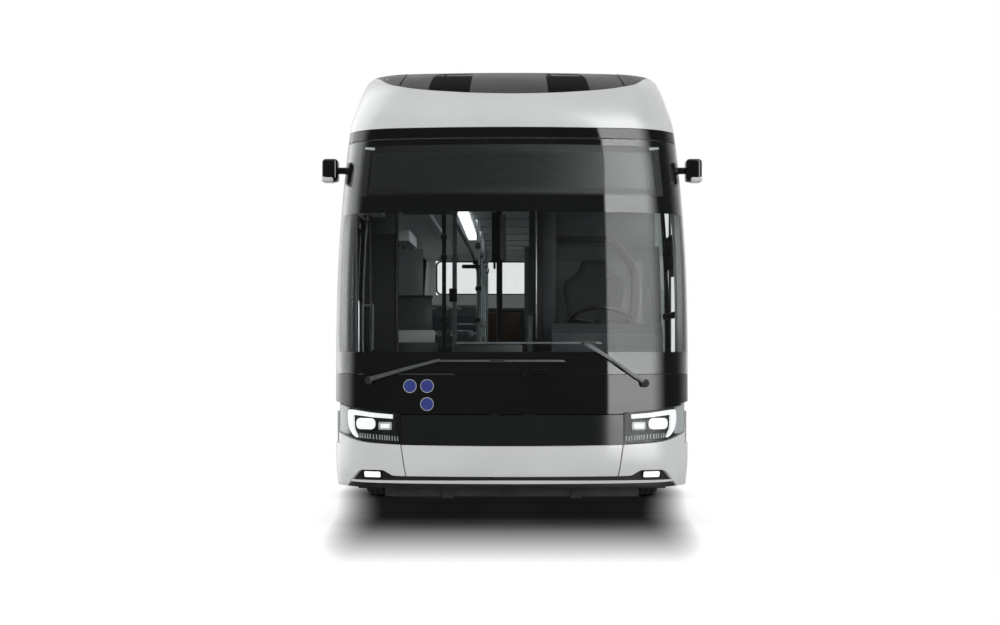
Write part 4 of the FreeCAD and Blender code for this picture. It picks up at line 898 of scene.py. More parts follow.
def lampUnit():
    # One housing each side, mirrored: light bracket, two LED modules, cooling ribs, clear cover
    outline = [p for p in lampTop if p[0] < 1.335] + [(1.337, 0.869)] + lampLow
    sideLens = (smoothLine([(1.326, 0.860), (1.226, 0.846)], 3)
                + smoothLine([(1.222, 0.655), (1.277, 0.663), (1.326, 0.674)], 3))
    topBar = smoothLine([(0.846, 0.797), (0.993, 0.808), (1.091, 0.819), (1.167, 0.826), (1.205, 0.826),
                         (1.217, 0.812)], 4)
    lowBar = smoothLine([(1.217, 0.797), (1.161, 0.7925), (1.05, 0.784), (0.993, 0.778), (0.846, 0.7685)], 4)
    outerSide = smoothLine([(1.217, 0.7965), (1.217, 0.76), (1.207, 0.71), (1.188, 0.675), (1.160, 0.650),
                            (1.127, 0.632)], 3)
    innerSide = smoothLine([(1.127, 0.648), (1.143, 0.668), (1.160, 0.700), (1.168, 0.74), (1.169, 0.7925)], 3)
    ribs = []
    fin = dict(half=0.003, high=0.034, top=0.664, fall=0.065, places=(
        1.103, 1.082, 1.058, 1.037, 1.016, 0.990, 0.965, 0.941, 0.923, 0.904, 0.888, 0.871, 0.850, 0.830, 0.810))
    for s in fin["places"]:
        top = fin["top"] - (fin["places"][0] - s) * fin["fall"]
        ribs.append(rect(s - fin["half"], s + fin["half"], top - fin["high"], top))
    carrier = [(0.80, 0.628), (1.12, 0.640), (1.12, 0.672), (0.80, 0.648)]
    for name, material, slot, outlines, inset, thick, bevel, step in (
            ("lamp_housing", blackAbs, "dark_trim", [outline], 0.030, 0.05, 0, 0.04),
            ("lamp_side_lens", clearLens, "lamp_lens", [sideLens], 0.005, 0.022, 0.003, 0.04),
            ("daylight_bracket", ledWhite, "lamp_lens", [topBar + lowBar, outerSide + innerSide],
                0.006, 0.02, 0.002, 0.03),
            ("lamp_module_bezels", blackAbs, "dark_trim", [
                roundedBox(0.964, 1.152, 0.676, 0.784, 0.02), roundedBox(0.834, 0.960, 0.672, 0.764, 0.012)],
                0.020, 0.015, 0.003, 0.03),
            ("lamp_module_reflectors", clearLens, "lamp_lens", [roundedBox(0.852, 0.950, 0.690, 0.745, 0.010)],
                0.016, 0.01, 0.004, 0.02),
            ("lamp_module_lenses", ledWhite, "lamp_lens", [
                roundedBox(0.974, 1.134, 0.692, 0.770, 0.034), roundedBox(0.868, 0.934, 0.702, 0.732, 0.005)],
                0.012, 0.01, 0.005, 0.02),
            ("lamp_cooling_ribs", clearLens, "dark_trim", ribs, 0.014, 0.016, 0.0008, 0.05),
            ("lamp_rib_carrier", blackAbs, "dark_trim", [carrier], 0.022, 0.015, 0.002, 0.04),
            ("lamp_cover", lampLens, "glass", [outline], 0.001, 0.003, 0, 0.04)):
        skinPlate(name, material, outlines, inset, thick, bevel, step, True,
                  node="headlamps" if name == "lamp_housing" else None)


def bumperPieces():
    # White moulding in three parts with fog lamp recesses, a white blade and a dark lip
    seam = 0.0045
    sideEnd = front["halfRound"] + maskY - skinPoint(0.5, 2.0).y
    recess = smoothLine([(0.757, 0.366), (0.843, 0.369), (0.875, 0.383), (0.910, 0.403), (0.945, 0.4075),
                         (1.080, 0.405), (1.117, 0.391), (1.149, 0.368), (1.194, 0.331), (1.250, 0.281)], 5)
    top = [(s, z - 0.004) for s, z in lampLow][::-1]
    upper = ([(0.783 + seam, 0.5865)] + top[1:] + [(1.345, 0.661), (1.345, 0.581), (sideEnd, 0.581), (sideEnd, 0.281)]
             + recess[:0:-1] + [(0.7545 + seam, 0.3655)])
    arch = [(s, 0.5805 + 0.0045 * (abs(s) / 0.783) ** 2) for s in spread(-0.783 + seam, 0.783 - seam, 20)]
    backing = [(1.17, 0.375), (1.10, 0.415), (0.90, 0.42), (0.80, 0.38)]
    bladeTop = smoothLine([(-1.192, 0.3315), (-0.756, 0.334), (0.0, 0.339), (0.756, 0.334), (1.192, 0.3315)], 8)
    bladeLow = smoothLine([(1.200, 0.316), (0.757, 0.314), (0.0, 0.3145), (-0.757, 0.314), (-1.200, 0.316)], 8)
    for name, material, slot, outline, inset, thick, bevel, step, both in (
            ("bumper_sides", whitePaint, "white_paint", upper, 0.0, 0.03, 0.004, 0.035, True),
            ("bumper_middle", whitePaint, "white_paint", arch + [(0.7545 - seam, 0.366), (-0.7545 + seam, 0.366)],
                0.0, 0.03, 0.012, 0.035, False),
            ("bumper_recess", blackAbs, "dark_trim", [(-1.27, 0.2805), (1.27, 0.2805)] + backing
                + [(-s, z) for s, z in backing[::-1]], 0.030, 0.02, 0, 0.04, False),
            ("bumper_seam_backing", sealRubber, "dark_trim", [
                (0.735, 0.36), (0.775, 0.36), (0.805, 0.59), (0.765, 0.59)], 0.032, 0.006, 0, 0.04, True),
            ("bumper_blade", whitePaint, "white_paint", bladeTop + bladeLow, 0.004, 0.03, 0.003, 0.04, False),
            ("bumper_lip", blackAbs, "dark_trim", [(-1.246, 0.2805), (1.246, 0.2805), (1.206, 0.309), (0.0, 0.307),
                (-1.206, 0.309)], 0.008, 0.03, 0.003, 0.04, False),
            ("fog_lamp_lenses", ledWhite, "lamp_lens", roundedBox(0.944, 1.070, 0.354, 0.394, 0.008),
                0.012, 0.02, 0.004, 0.03, True),
            ("fog_lamp_bezels", blackGlass, "dark_trim", roundedBox(0.934, 1.086, 0.347, 0.401, 0.012),
                0.018, 0.02, 0.003, 0.04, True)):
        skinPlate(name, material, [outline], inset, thick, bevel, step, both,
                  node="front_bumper" if name == "bumper_sides" else None)


def towingCover():
    # Square lid over the towing socket, a hair proud of the flap that it rides on
    skinPlate("towing_cover", flapPaint, [roundedBox(-0.072, 0.078, 0.679, 0.769, 0.006)],
              -0.0012, 0.0016, 0.0006, body="flap")
    skinPlate("towing_cover_gap", sealRubber, [roundedBox(-0.080, 0.086, 0.671, 0.777, 0.008)],
              -0.0004, 0.0008, 0, body="flap")


capAndGlass()
visorGrilles()
screenSurround()
destinationDisplay()
maskPanel()
blankSigns()
lampUnit()
bumperPieces()
towingCover()


print("stage: saloon")


def ceilingLining():
    # Arched lining with its joints, two strips of light and the air ducts beside them
    lining = dict(height=2.50, side=1.155, start=-4.95, end=5.62, thick=0.012,
                  joints=(-3.4, -2.2, -1.0, 0.2, 1.4, 2.6, 3.8, 5.0), lit=(-2.40, 2.05))
    ceiling, start, end = lining["height"], lining["start"], lining["end"]
    half = [(0.0, 0.020), (0.36, 0.018), (0.62, 0.010), (0.86, -0.005), (1.02, -0.035), (lining["side"], -0.11)]
    lower = [(-x, ceiling + z) for x, z in half[:0:-1]] + [(x, ceiling + z) for x, z in half]
    upper = [(x, z + lining["thick"]) for x, z in lower[::-1]]
    finishMesh("ceiling_lining", extruded(lower + upper, "y", start, end, 0.001), liningGrey)
    joints = [((-0.40, y, ceiling + 0.014), (0.40, y + 0.006, ceiling + 0.019)) for y in lining["joints"]]
    boxPiece("ceiling_joint_strips", joints, sealRubber, 0.001)
    y0, y1 = lining["lit"]
    runs = [((x, y0, ceiling - 0.012), (x + 0.10, y1, ceiling + 0.016)) for x in (-0.505, 0.405)]
    boxPiece("ceiling_led_strips", runs, stripLight, 0.006)
    ducts = [((x, start + 0.5, ceiling - 0.03), (x + 0.11, end - 0.3, ceiling + 0.01)) for x in (-0.86, 0.75)]
    boxPiece("ceiling_air_ducts", ducts, liningGrey, 0.02)


def swollen(name, bm, voxel, cap, pressure=4.0):
    # Upholstered form: an even skin over the block, blown up a little by cloth pressure
    mesh = bpy.data.meshes.new(name + "_block")
    bmesh.ops.recalc_face_normals(bm, faces=bm.faces[:])
    bm.to_mesh(mesh)
    bm.free()
    form = bpy.data.objects.new(name + "_form", mesh)
    scene = bpy.context.scene
    scene.collection.objects.link(form)
    remesh = form.modifiers.new("evenSkin", "REMESH")
    remesh.mode = "VOXEL"
    remesh.voxel_size = voxel
    form.data = bpy.data.meshes.new_from_object(form.evaluated_get(bpy.context.evaluated_depsgraph_get()))
    form.modifiers.clear()
    start = [v.co.copy() for v in form.data.vertices]
    cloth = form.modifiers.new("cover", "CLOTH")
    cloth.settings.use_pressure = True
    cloth.settings.uniform_pressure_force = pressure
    cloth.settings.effector_weights.gravity = 0.0
    for step in range(1, 21):
        scene.frame_set(step)
    puffed = bpy.data.meshes.new_from_object(form.evaluated_get(bpy.context.evaluated_depsgraph_get()))
    form.modifiers.clear()
    for vert, place in zip(puffed.vertices, start):
        move = vert.co - place
        if move.length > cap:
            vert.co = place + move * (cap / move.length)
    form.data = puffed
    scene.frame_set(1)
    shape = form.data
    bpy.data.objects.remove(form)
    return shape


def repeated(shape, places):
    # The same form at each place
    bm = bmesh.new()
    for offset in places:
        before = len(bm.verts)
        bm.from_mesh(shape)
        bm.verts.ensure_lookup_table()
        bmesh.ops.translate(bm, vec=offset, verts=bm.verts[before:])
    return bm


def softPiece(name, shape, places, material, smooth=2, node=None):
    bm = repeated(shape, places)
    for _ in range(smooth):
        bmesh.ops.smooth_vert(bm, verts=bm.verts[:], factor=0.5, use_axis_x=True, use_axis_y=True, use_axis_z=True)
    finishMesh(name, bm, material, node=node, angle=80)


# Passenger seats: pads on grey shells, in twos and along the back
seats = dict(
    half=0.20, voxel=0.013, cap=0.012, leftX=(0.54, 0.98), rightX=(-0.98, -0.54),
    leftY=[-2.413 + 0.78 * k for k in range(6)], rightY=[-2.413, -1.633, 0.900, 1.602], rearY=[3.49, 4.27],
    benchY=5.24, benchX=(-0.80, -0.40, 0.0, 0.40, 0.80),
)


def passengerSeats():
    s = seats
    half = s["half"]
    groups = {
        "left": [(x, y, floorZ) for y in s["leftY"] for x in s["leftX"]],
        "right": [(x, y, floorZ) for y in s["rightY"] for x in s["rightX"]],
        "rear": [(x, y, platformZ) for y in s["rearY"] for x in s["leftX"] + s["rightX"]]
                + [(x, s["benchY"], platformZ) for x in s["benchX"]],
    }
    backLine = [(0.385, 0.45), (0.43, 0.44), (0.478, 0.93), (0.470, 0.955), (0.445, 0.955), (0.432, 0.93)]
    pad = extruded(rect(-half, half, 0.035, 0.40), "z", 0.365, 0.415, 0.02)
    cushion = swollen("seat_cushion", pad, s["voxel"], s["cap"])
    rest = swollen("seat_back", extruded(backLine, "x", -half, half, 0.012), s["voxel"], s["cap"])
    for side, group in groups.items():
        softPiece("seat_cushions_" + side, cushion, group, moquette, 1)
        softPiece("seat_backs_" + side, rest, group, moquette, 1)
    places = groups["left"] + groups["right"] + groups["rear"]
    shellLine = [(0.02, 0.352), (0.03, 0.335), (0.40, 0.335), (0.448, 0.36), (0.502, 0.99), (0.486, 1.02),
                 (0.470, 0.99), (0.425, 0.42), (0.38, 0.362)]
    one = extruded(shellLine, "x", -half - 0.014, half + 0.014, 0.006)
    shell = bpy.data.meshes.new("seat_shell")
    one.to_mesh(shell)
    one.free()
    finishMesh("seat_shells", repeated(shell, places), cabGrey, node="passenger_seats", angle=40)
    frames, tops = bmesh.new(), bmesh.new()
    for at in places:
        for lo, hi, bevel in (((-half, 0.05, 0.300), (half, 0.09, 0.336), 0.006),
                              ((-half, 0.33, 0.300), (half, 0.37, 0.336), 0.006),
                              ((-0.03, 0.10, 0.004), (0.03, 0.34, 0.305), 0.012),
                              ((-0.07, 0.06, 0.002), (0.07, 0.38, 0.012), 0.003)):
            boxInto(frames, lo, hi, bevel, at=at)
    finishMesh("seat_frames", frames, powderSteel)
    for at in places[:28]:
        for lo, hi in (((-0.16, 0.478, 1.00), (-0.13, 0.502, 1.055)), ((0.13, 0.478, 1.00), (0.16, 0.502, 1.055)),
                       ((-0.16, 0.478, 1.045), (0.16, 0.502, 1.069))):
            boxInto(tops, lo, hi, 0.008, at=at)
    finishMesh("seat_top_grips", tops, brushedSteel)


def driverSeat():
    # Sprung seat with a built-in head restraint, narrow at the neck and broad at the shoulders
    seat = dict(x=0.66, backY=-4.15, cushionY=-4.375, cushionZ=0.985, voxel=0.009, cap=0.016, folds=9, foldHigh=0.027)
    x, voxel, cap = seat["x"], seat["voxel"], seat["cap"]
    half = [(0.078, 1.985), (0.108, 1.965), (0.128, 1.915), (0.150, 1.875), (0.205, 1.835), (0.250, 1.800),
            (0.262, 1.760), (0.258, 1.700), (0.235, 1.600), (0.222, 1.450), (0.218, 1.250), (0.205, 1.120),
            (0.180, 1.080)]
    back = extruded([(-a, z) for a, z in half] + half[::-1], "y", -0.045, 0.045, 0.028)
    bmesh.ops.rotate(back, verts=back.verts[:], cent=(0, 0, 1.08), matrix=Matrix.Rotation(radians(-7), 3, "X"))
    pad = extruded([(-0.235, -0.25), (0.235, -0.25), (0.245, 0.22), (-0.245, 0.22)], "z", 0.0, 0.075, 0.03)
    softPiece("driver_backrest", swollen("driver_back", back, voxel, cap), [(x, seat["backY"], 0.0)], cabCloth,
              node="driver_seat")
    softPiece("driver_cushion", swollen("driver_cushion", pad, voxel, cap), [(x, seat["cushionY"], seat["cushionZ"])],
              cabCloth)
    boxPiece("driver_seat_shell", [
        ((x - 0.20, -4.08, 0.98), (x + 0.20, -4.04, 1.60)), ((x - 0.24, -4.60, 0.945), (x + 0.24, -4.09, 0.984)),
        ((x - 0.16, -4.52, 0.63), (x + 0.16, -4.18, 0.70))], blackAbs, 0.014)
    bm = bmesh.new()
    for k in range(seat["folds"]):
        wide, z = 0.14 + 0.02 * (k % 2), 0.70 + seat["foldHigh"] * k
        boxInto(bm, (x - wide, -4.50, z), (x + wide, -4.20, z + 0.029), 0.01)
    finishMesh("driver_seat_gaiter", bm, bellowsRubber)


def cabInside():
    # Closed cab: bulkhead over the partition, dark screen behind the driver in a rounded black frame
    outer = [(0.36, 2.158), (0.78, 2.158), (0.86, 2.12), (0.955, 2.02), (1.005, 1.93), (1.034, 1.80), (1.036, 1.62),
             (1.012, 1.48), (0.985, 1.40)]
    inner = [(0.36, 2.108), (0.755, 2.108), (0.83, 2.065), (0.905, 1.975), (0.945, 1.89), (0.968, 1.79), (0.968, 1.63),
             (0.948, 1.50), (0.925, 1.40)]
    screenFrame = extruded(smoothLine(outer, 4) + smoothLine(inner, 4)[::-1], "y", -3.978, -3.962)
    finishMesh("cab_screen_frame", screenFrame, blackAbs)
    for name, boxes, material, slot, bevel in (
            ("cab_bulkhead", [((0.145, -3.955, 2.078), (1.165, -3.935, 2.505))], cabGrey, "interior", 0.004),
            ("cab_rear_screen", [((0.186, -3.958, 1.326), (1.064, -3.944, 1.964))], smokedScreen, "interior", 0.002),
            ("cab_door_column", [((0.138, -4.012, 0.95), (0.366, -3.968, 2.505))], blackAbs, "dark_trim", 0.01),
            ("cab_column_cover", [((0.252, -4.017, 1.26), (0.350, -4.008, 2.45))], cabGrey, "interior", 0.004),
            ("cab_column_grip", [((0.186, -4.030, 1.33), (0.202, -4.008, 2.42))], brushedSteel, "rail_steel", 0.006),
            ("cab_window_bars", [
                ((1.222, -4.53, 1.15), (1.243, -4.51, 2.42)), ((1.222, -5.02, 1.485), (1.246, -3.98, 1.535)),
                ((1.205, -4.90, 1.87), (1.245, -4.28, 2.12)), ((1.205, -4.84, 1.80), (1.235, -4.82, 1.88)),
                ((1.205, -4.36, 1.80), (1.235, -4.34, 1.88))], blackAbs, "dark_trim", 0.008),
            ("cab_blind_catches", [((1.196, -4.80, z), (1.206, -4.74, z + 0.012)) for z in (1.94, 2.05)],
                brushedSteel, "rail_steel", 0.003),
            ("dashboard_centre", [((-0.42, -5.56, 1.05), (0.08, -5.34, 1.292))], blackAbs, "dark_trim", 0.02),
            ("dashboard_centre_edge", [((-0.40, -5.563, 1.288), (0.06, -5.535, 1.298))], anodised, "aluminium", 0.003)):
        boxPiece(name, boxes, material, bevel)


def entranceInside():
    # Grab rails, door gear covers and the luggage shelf over the front wheel on the entrance side
    for k, points in enumerate((
            [(-1.131, -4.45, 2.30), (-1.150, -4.45, 2.10), (-1.169, -4.45, 1.60)],
            [(-1.169, -4.47, 1.60), (-1.171, -4.47, 1.305)],
            [(-1.110, -4.45, 1.60), (-1.092, -4.45, 1.595), (-1.091, -4.45, 1.50), (-1.094, -4.45, 1.241)])):
        tubePiece("entrance_grab_rail_%d" % k, points, 0.009 if k else 0.006, greyTube, corner=0.03)
    tubePiece("entrance_rail_bracket", [(-1.175, -4.45, 1.592), (-1.095, -4.45, 1.592)], 0.008, greyTube)
    for name, lo, hi, material, slot, bevel in (
            ("entrance_header_trim", (-1.06, -5.42, 2.250), (-0.80, -5.38, 2.283), cabGrey, "interior", 0.004),
            ("header_speaker_bar", (-0.80, -5.43, 2.236), (-0.395, -5.36, 2.292), blackAbs, "dark_trim", 0.01),
            ("entrance_screen_top", (-1.155, -3.874, 2.19), (-0.955, -3.84, 2.46), cabGrey, "interior", 0.004),
            ("luggage_shelf", (-1.17, -3.55, 1.115), (-0.646, -2.88, 1.300), cabGrey, "interior", 0.01),
            ("luggage_shelf_lip", (-1.17, -3.56, 1.298), (-0.644, -3.53, 1.402), liningGrey, "interior", 0.008),
            ("luggage_screen", (-1.17, -2.90, 1.298), (-0.70, -2.884, 1.690), smokedScreen, "interior", 0.004),
            ("draught_screen", (-1.130, -2.899, 1.714), (-0.78, -2.885, 2.12), frostedScreen, "interior", 0.004),
            ("luggage_screen_rail", (-1.17, -2.905, 1.686), (-0.69, -2.880, 1.712), blackAbs, "dark_trim", 0.01)):
        boxPiece(name, [(lo, hi)], material, bevel)


def poleAt(name, x, y, radius, material, low=floorZ):
    # Pole with a foot and a ceiling flange
    pole = dict(high=2.508, flange=0.012, foot=0.012, head=0.010)
    high, flange = pole["high"], pole["flange"]
    bm = bmesh.new()
    for r, z0, z1 in ((radius, low, high), (radius + pole["foot"], low, low + flange),
                      (radius + pole["head"], high - flange, high)):
        coneInto(bm, (x, y, (z0 + z1) / 2), r, r, z1 - z0, 18)
    finishMesh(name, bm, material, angle=50)


def railsAndPoles():
    # Stanchions with clamps, ceiling rails with straps, and the curved pole by the entrance
    rows = dict(y=[-1.02, 0.76, 2.16, 3.45, 5.03], left=0.29, right=-0.335, railZ=2.25, tubeR=0.017, straps=8,
                strapStart=-0.20, strapPitch=0.52)
    sides, r = (rows["left"], rows["right"]), rows["tubeR"]
    for k, y in enumerate(rows["y"]):
        for side in ("left", "right"):
            poleAt("stanchion_%d_%s" % (k, side), rows[side], y, r, brushedSteel, floorZ if y < 3 else platformZ)
    poleAt("stanchion_front_left", 0.29, -2.60, r, brushedSteel)
    poleAt("pole_entrance_black", -0.608, -2.58, 0.019, blackAbs)
    poleAt("pole_entrance_grey", -0.512, -2.62, 0.021, greyTube)
    tubePiece("pole_entrance_curved", [(-0.50, -2.60, 2.36), (-0.336, -2.60, 2.053), (-0.292, -2.60, 1.89),
                                       (-0.312, -2.60, 1.31), (-0.312, -2.60, floorZ)], 0.015, greyTube,
              corner=0.25, node="handrails")
    for side, start in (("left", -2.60), ("right", -1.02)):
        tubePiece("ceiling_rail_" + side, [(rows[side], start, rows["railZ"]), (rows[side], 5.03, rows["railZ"])],
                  0.015, brushedSteel)
    tubePiece("entrance_cross_rail", [(-0.512, -2.60, 1.457), (-0.312, -2.60, 1.457)], 0.009, brushedSteel)
    clamps = [((x - 0.026, y - 0.026, rows["railZ"] - 0.03), (x + 0.026, y + 0.026, rows["railZ"] + 0.03))
              for x in sides for y in rows["y"]]
    clamps += [((x - 0.028, -2.62, z - 0.02), (x + 0.028, -2.56, z + 0.02)) for x, z in (
        (-0.608, 2.24), (-0.608, 2.06), (-0.608, 1.49), (-0.512, 2.05), (-0.512, 1.50), (-0.300, 1.78), (-0.312, 1.50))]
    clamps += [((-0.447, -2.66, 1.958), (-0.286, -2.61, 1.992)), ((-0.560, -2.66, 1.66), (-0.49, -2.60, 1.78)),
               ((-0.350, -2.66, 1.995), (-0.300, -2.60, 2.03))]
    boxPiece("rail_clamps", clamps, blackAbs, 0.008)
    stops = [((x - 0.022, y - 0.045, 1.46), (x + 0.022, y - 0.010, 1.56)) for x in sides for y in (0.76, 3.45)]
    boxPiece("stop_button_boxes", stops, greyTube, 0.01)
    straps = bmesh.new()
    for x in sides:
        for k in range(rows["straps"]):
            at = (x, rows["strapStart"] + rows["strapPitch"] * k, 0)
            boxInto(straps, (-0.004, -0.014, 2.06), (0.004, 0.014, 2.27), 0.003, at=at)
            for y0, y1, z0, z1 in ((-0.05, 0.05, 1.955, 1.967), (-0.05, -0.038, 1.955, 2.07),
                                   (0.038, 0.05, 1.955, 2.07), (-0.05, 0.05, 2.055, 2.067)):
                boxInto(straps, (-0.006, y0, z0), (0.006, y1, z1), 0.004, 1, at)
    finishMesh("hand_grips", straps, blackAbs)


def saloonFittings():
    # Ticket display on its pole, and the brown panel below the rear window
    poleAt("display_pole", -0.108, -3.20, 0.026, blackAbs)
    boxPiece("display_bezel", [((-0.173, -3.30, 1.985), (-0.106, -3.13, 2.412))], blackAbs, 0.008)
    boxPiece("display_side", [((-0.104, -3.29, 2.000), (-0.050, -3.14, 2.392))], greyTube, 0.006)
    boxPiece("display_hook", [((-0.160, -3.25, 1.93), (-0.140, -3.16, 1.99))], blackAbs, 0.006)
    boxPiece("rear_bench_panel", [((-0.378, 5.10, 1.30), (0.108, 5.13, 1.695))], brownLaminate, 0.01)
    boxPiece("rear_shelf", [((-1.04, 5.56, 1.72), (1.04, 5.70, 1.76)), ((-1.04, 5.68, 1.30), (1.04, 5.72, 1.76))],
             cabGrey, 0.006)


ceilingLining()
passengerSeats()
driverSeat()
cabInside()
entranceInside()
railsAndPoles()
saloonFittings()


print("stage: windows and doors")
glazing = dict(
    low=1.120, high=2.480, round=0.07, gasket=0.016, cabPost=-3.945,
    left=[(-2.443, -0.963), (-0.883, 0.597), (0.677, 2.157), (2.237, 3.717), (3.797, 5.550)],
    right=[(-3.912, -2.085), (-2.005, -0.695), (0.695, 2.335), (2.415, 4.065), (4.145, 5.550)],
    firstLeft=(-5.103, -2.523), hopperZ=2.13, rear=(-1.06, 1.06, 1.95, 2.42),
)
onePane = dict(inset=0.006, thick=0.006, bevel=0.0008)


def gasket(box, inner, outerR=0.072, innerR=0.055, outer=0.004):
    # Frame of rubber round an opening
    return [grown(box, outer, outerR), grown(box, -inner, innerR)]


def sideWindows():
    g = glazing
    for side, place in (("left", onLeft), ("right", onRight)):
        bays = [(a, b, g["low"], g["high"]) for a, b in g[side]]
        if side == "left":
            bays.append((g["cabPost"] + 0.02, g["firstLeft"][1], g["low"], g["high"]))
            cab = (g["firstLeft"][0], g["cabPost"] - 0.02, g["low"], g["high"])
            wallPlate("cab_side_pane", clearGlass, "glass", [[grown(cab, -0.003, g["round"])]], place, **onePane)
            wallPlate("cab_window_gasket", sealRubber, "dark_trim", [gasket(cab, g["gasket"])], place, -0.0012)
            post = roundedBox(g["cabPost"] - 0.022, g["cabPost"] + 0.022, g["low"] - 0.002, g["high"] + 0.002, 0.002)
            wallPlate("cab_window_post", blackAbs, "dark_trim", [[post]], place, 0.0004, 0.03)
        wallPlate("side_panes_" + side, sideGlass, "glass", [[grown(b, -0.003, g["round"])] for b in bays], place,
                  **onePane)
        wallPlate("window_gaskets_" + side, sealRubber, "dark_trim", [gasket(b, g["gasket"]) for b in bays], place,
                  -0.0012)
        z = g["hopperZ"]
        bars = [[roundedBox(b[0] + 0.012, b[1] - 0.012, z - 0.014, z + 0.014, 0.003)] for b in bays[::2]]
        wallPlate("hopper_bars_" + side, blackAbs, "dark_trim", bars, place, 0.001, 0.024)
        mids = [(b[0] + b[1]) / 2 for b in bays[::2]]
        catches = [[roundedBox(mid - 0.035, mid + 0.035, z + 0.018, z + 0.034, 0.004)] for mid in mids]
        wallPlate("hopper_catches_" + side, brushedSteel, "rail_steel", catches, place, 0.014, 0.02)
    wallPlate("rear_pane", clearGlass, "glass", [[grown(g["rear"], -0.003, 0.07)]], onRear, cross=0.08, node="windows",
              **onePane)
    wallPlate("rear_window_gasket", sealRubber, "dark_trim", [gasket(g["rear"], 0.018)], onRear, -0.001, cross=0.08)


doors = dict(low=0.375, high=2.277, rim=0.062, foot=0.075, head=0.070, round=0.04,
             leaves={"front_a": (-5.172, -4.612), "front_b": (-4.602, -4.042), "middle_a": (-0.565, -0.005),
                     "middle_b": (0.005, 0.565)})


def doorLeaves():
    d = doors
    for name, (y0, y1) in d["leaves"].items():
        body = "leaf_" + name
        light = (y0 + d["rim"], y1 - d["rim"], d["low"] + d["foot"], d["high"] - d["head"])
        shape = [roundedBox(y0 + 0.006, y1 - 0.006, d["low"], d["high"], 0.006), grown(light, -0.002, d["round"])]
        wallPlate("leaf_frame_" + name, leafPaint, "black_gloss", [shape], onRight, 0.001, 0.036, 0.003, body,
                  node="door_leaf_" + name)
        wallPlate("leaf_pane_" + name, sideGlass, "glass", [[grown(light, -0.001, d["round"])]], onRight, 0.008, 0.006,
                  0.0008, body)
        wallPlate("leaf_gasket_" + name, sealRubber, "dark_trim", [gasket(light, 0.013, 0.042, 0.03, 0.003)], onRight,
                  -0.0004, 0.010, 0.001, body)
        edges = [[roundedBox(y - 0.004, y + 0.004, d["low"] + 0.004, d["high"] - 0.004, 0.003)]
                 for y in (y0 + 0.004, y1 - 0.004)]
        wallPlate("leaf_finger_guards_" + name, sealRubber, "dark_trim", edges, onRight, 0.006, 0.028, 0.001, body)
        inner = y1 - 0.09 if name.endswith("_a") else y0 + 0.09
        x = skinPoint(1.2, onRight(1.2, inner), 0.075).x
        tubePiece("leaf_grip_" + name, [(x - 0.037, inner, 0.82), (x, inner, 0.85), (x, inner, 1.62),
                                        (x - 0.037, inner, 1.65)], 0.015, brushedSteel, body=body, corner=0.04)


sideWindows()
doorLeaves()


print("stage: skirts and arches")
skirt = dict(low=0.285, top=0.612, archR=0.56, gap=0.0035,
             left=[-4.10, -2.30, -1.10, 0.10, 1.30, 2.05, 3.42, 4.50],
             right=[-3.95, -2.30, -1.40, 1.20, 2.05, 3.42, 4.50],
             leftRuns=((maskY + 0.02, -3.77), (-2.66, 2.18), (3.29, tailY - 0.02)),
             rightRuns=((-4.02, -3.77), (-2.66, -0.60), (0.60, 2.18), (3.29, tailY - 0.02)),
             leftMarkers=(-2.05, 0.15, 1.90, 4.80), rightMarkers=(-2.05, 0.86, 1.90, 4.80),
             leftRub=((-5.0, 5.55),), rightRub=((-3.93, -0.68), (0.68, 5.55)))


def skirtsAndArches():
    for side, place in (("left", onLeft), ("right", onRight)):
        seams = [[roundedBox(y - skirt["gap"] / 2, y + skirt["gap"] / 2, skirt["low"], skirt["top"], 0.0012)]
                 for y in skirt[side]]
        seams += [[roundedBox(y0, y1, skirt["top"] - 0.002, skirt["top"] + 0.0015, 0.001)]
                  for y0, y1 in skirt[side + "Runs"]]
        locks = [[roundedBox(y + 0.03, y + 0.058, 0.54, 0.568, 0.0135)] for y in skirt[side]]
        markers = [[roundedBox(y - 0.05, y + 0.05, 0.700, 0.732, 0.01)] for y in skirt[side + "Markers"]]
        rub = [[roundedBox(y0, y1, 0.955, 0.985, 0.012)] for y0, y1 in skirt[side + "Rub"]]
        wallPlate("skirt_seams_" + side, sealRubber, "dark_trim", seams, place, -0.0005, 0.002, 0)
        wallPlate("skirt_locks_" + side, blackAbs, "dark_trim", locks, place, -0.0025, 0.006, 0.001)
        wallPlate("side_markers_" + side, amberLens, "lamp_lens", markers, place, -0.009, 0.014, 0.003)
        wallPlate("rub_rail_" + side, sealRubber, "dark_trim", rub, place, -0.008, 0.012, 0.003)
        for wheel, y in (("front", frontAxleY), ("rear", rearAxleY)):
            arc = [(y + skirt["archR"] * cos(radians(a)), tyreR + skirt["archR"] * sin(radians(a)))
                   for a in range(-12, 193, 8)]
            line = [tuple(skinPoint(z, place(z, at), 0.004)) for at, z in arc]
            tubePiece("arch_lip_%s_%s" % (wheel, side), line, 0.011, sealRubber, corner=0.01, sides=10)


def chargeFlapAndButtons():
    # Charging flap on the driver's side and the door buttons on the entrance side
    box = (-3.86, -3.52, 0.70, 1.00)
    seam = gasket(box, 0.004, 0.02, 0.017, 0.0)
    wallPlate("charge_flap_seam", sealRubber, "dark_trim", [seam], onLeft, -0.0005, 0.002, 0)
    buttons = [[roundedBox(y - 0.03, y + 0.03, 1.27, 1.33, 0.028)] for y in (-3.99, 0.63)]
    wallPlate("door_buttons", greenLens, "lamp_lens", buttons, onRight, -0.006, 0.010, 0.002)


skirtsAndArches()
chargeFlapAndButtons()


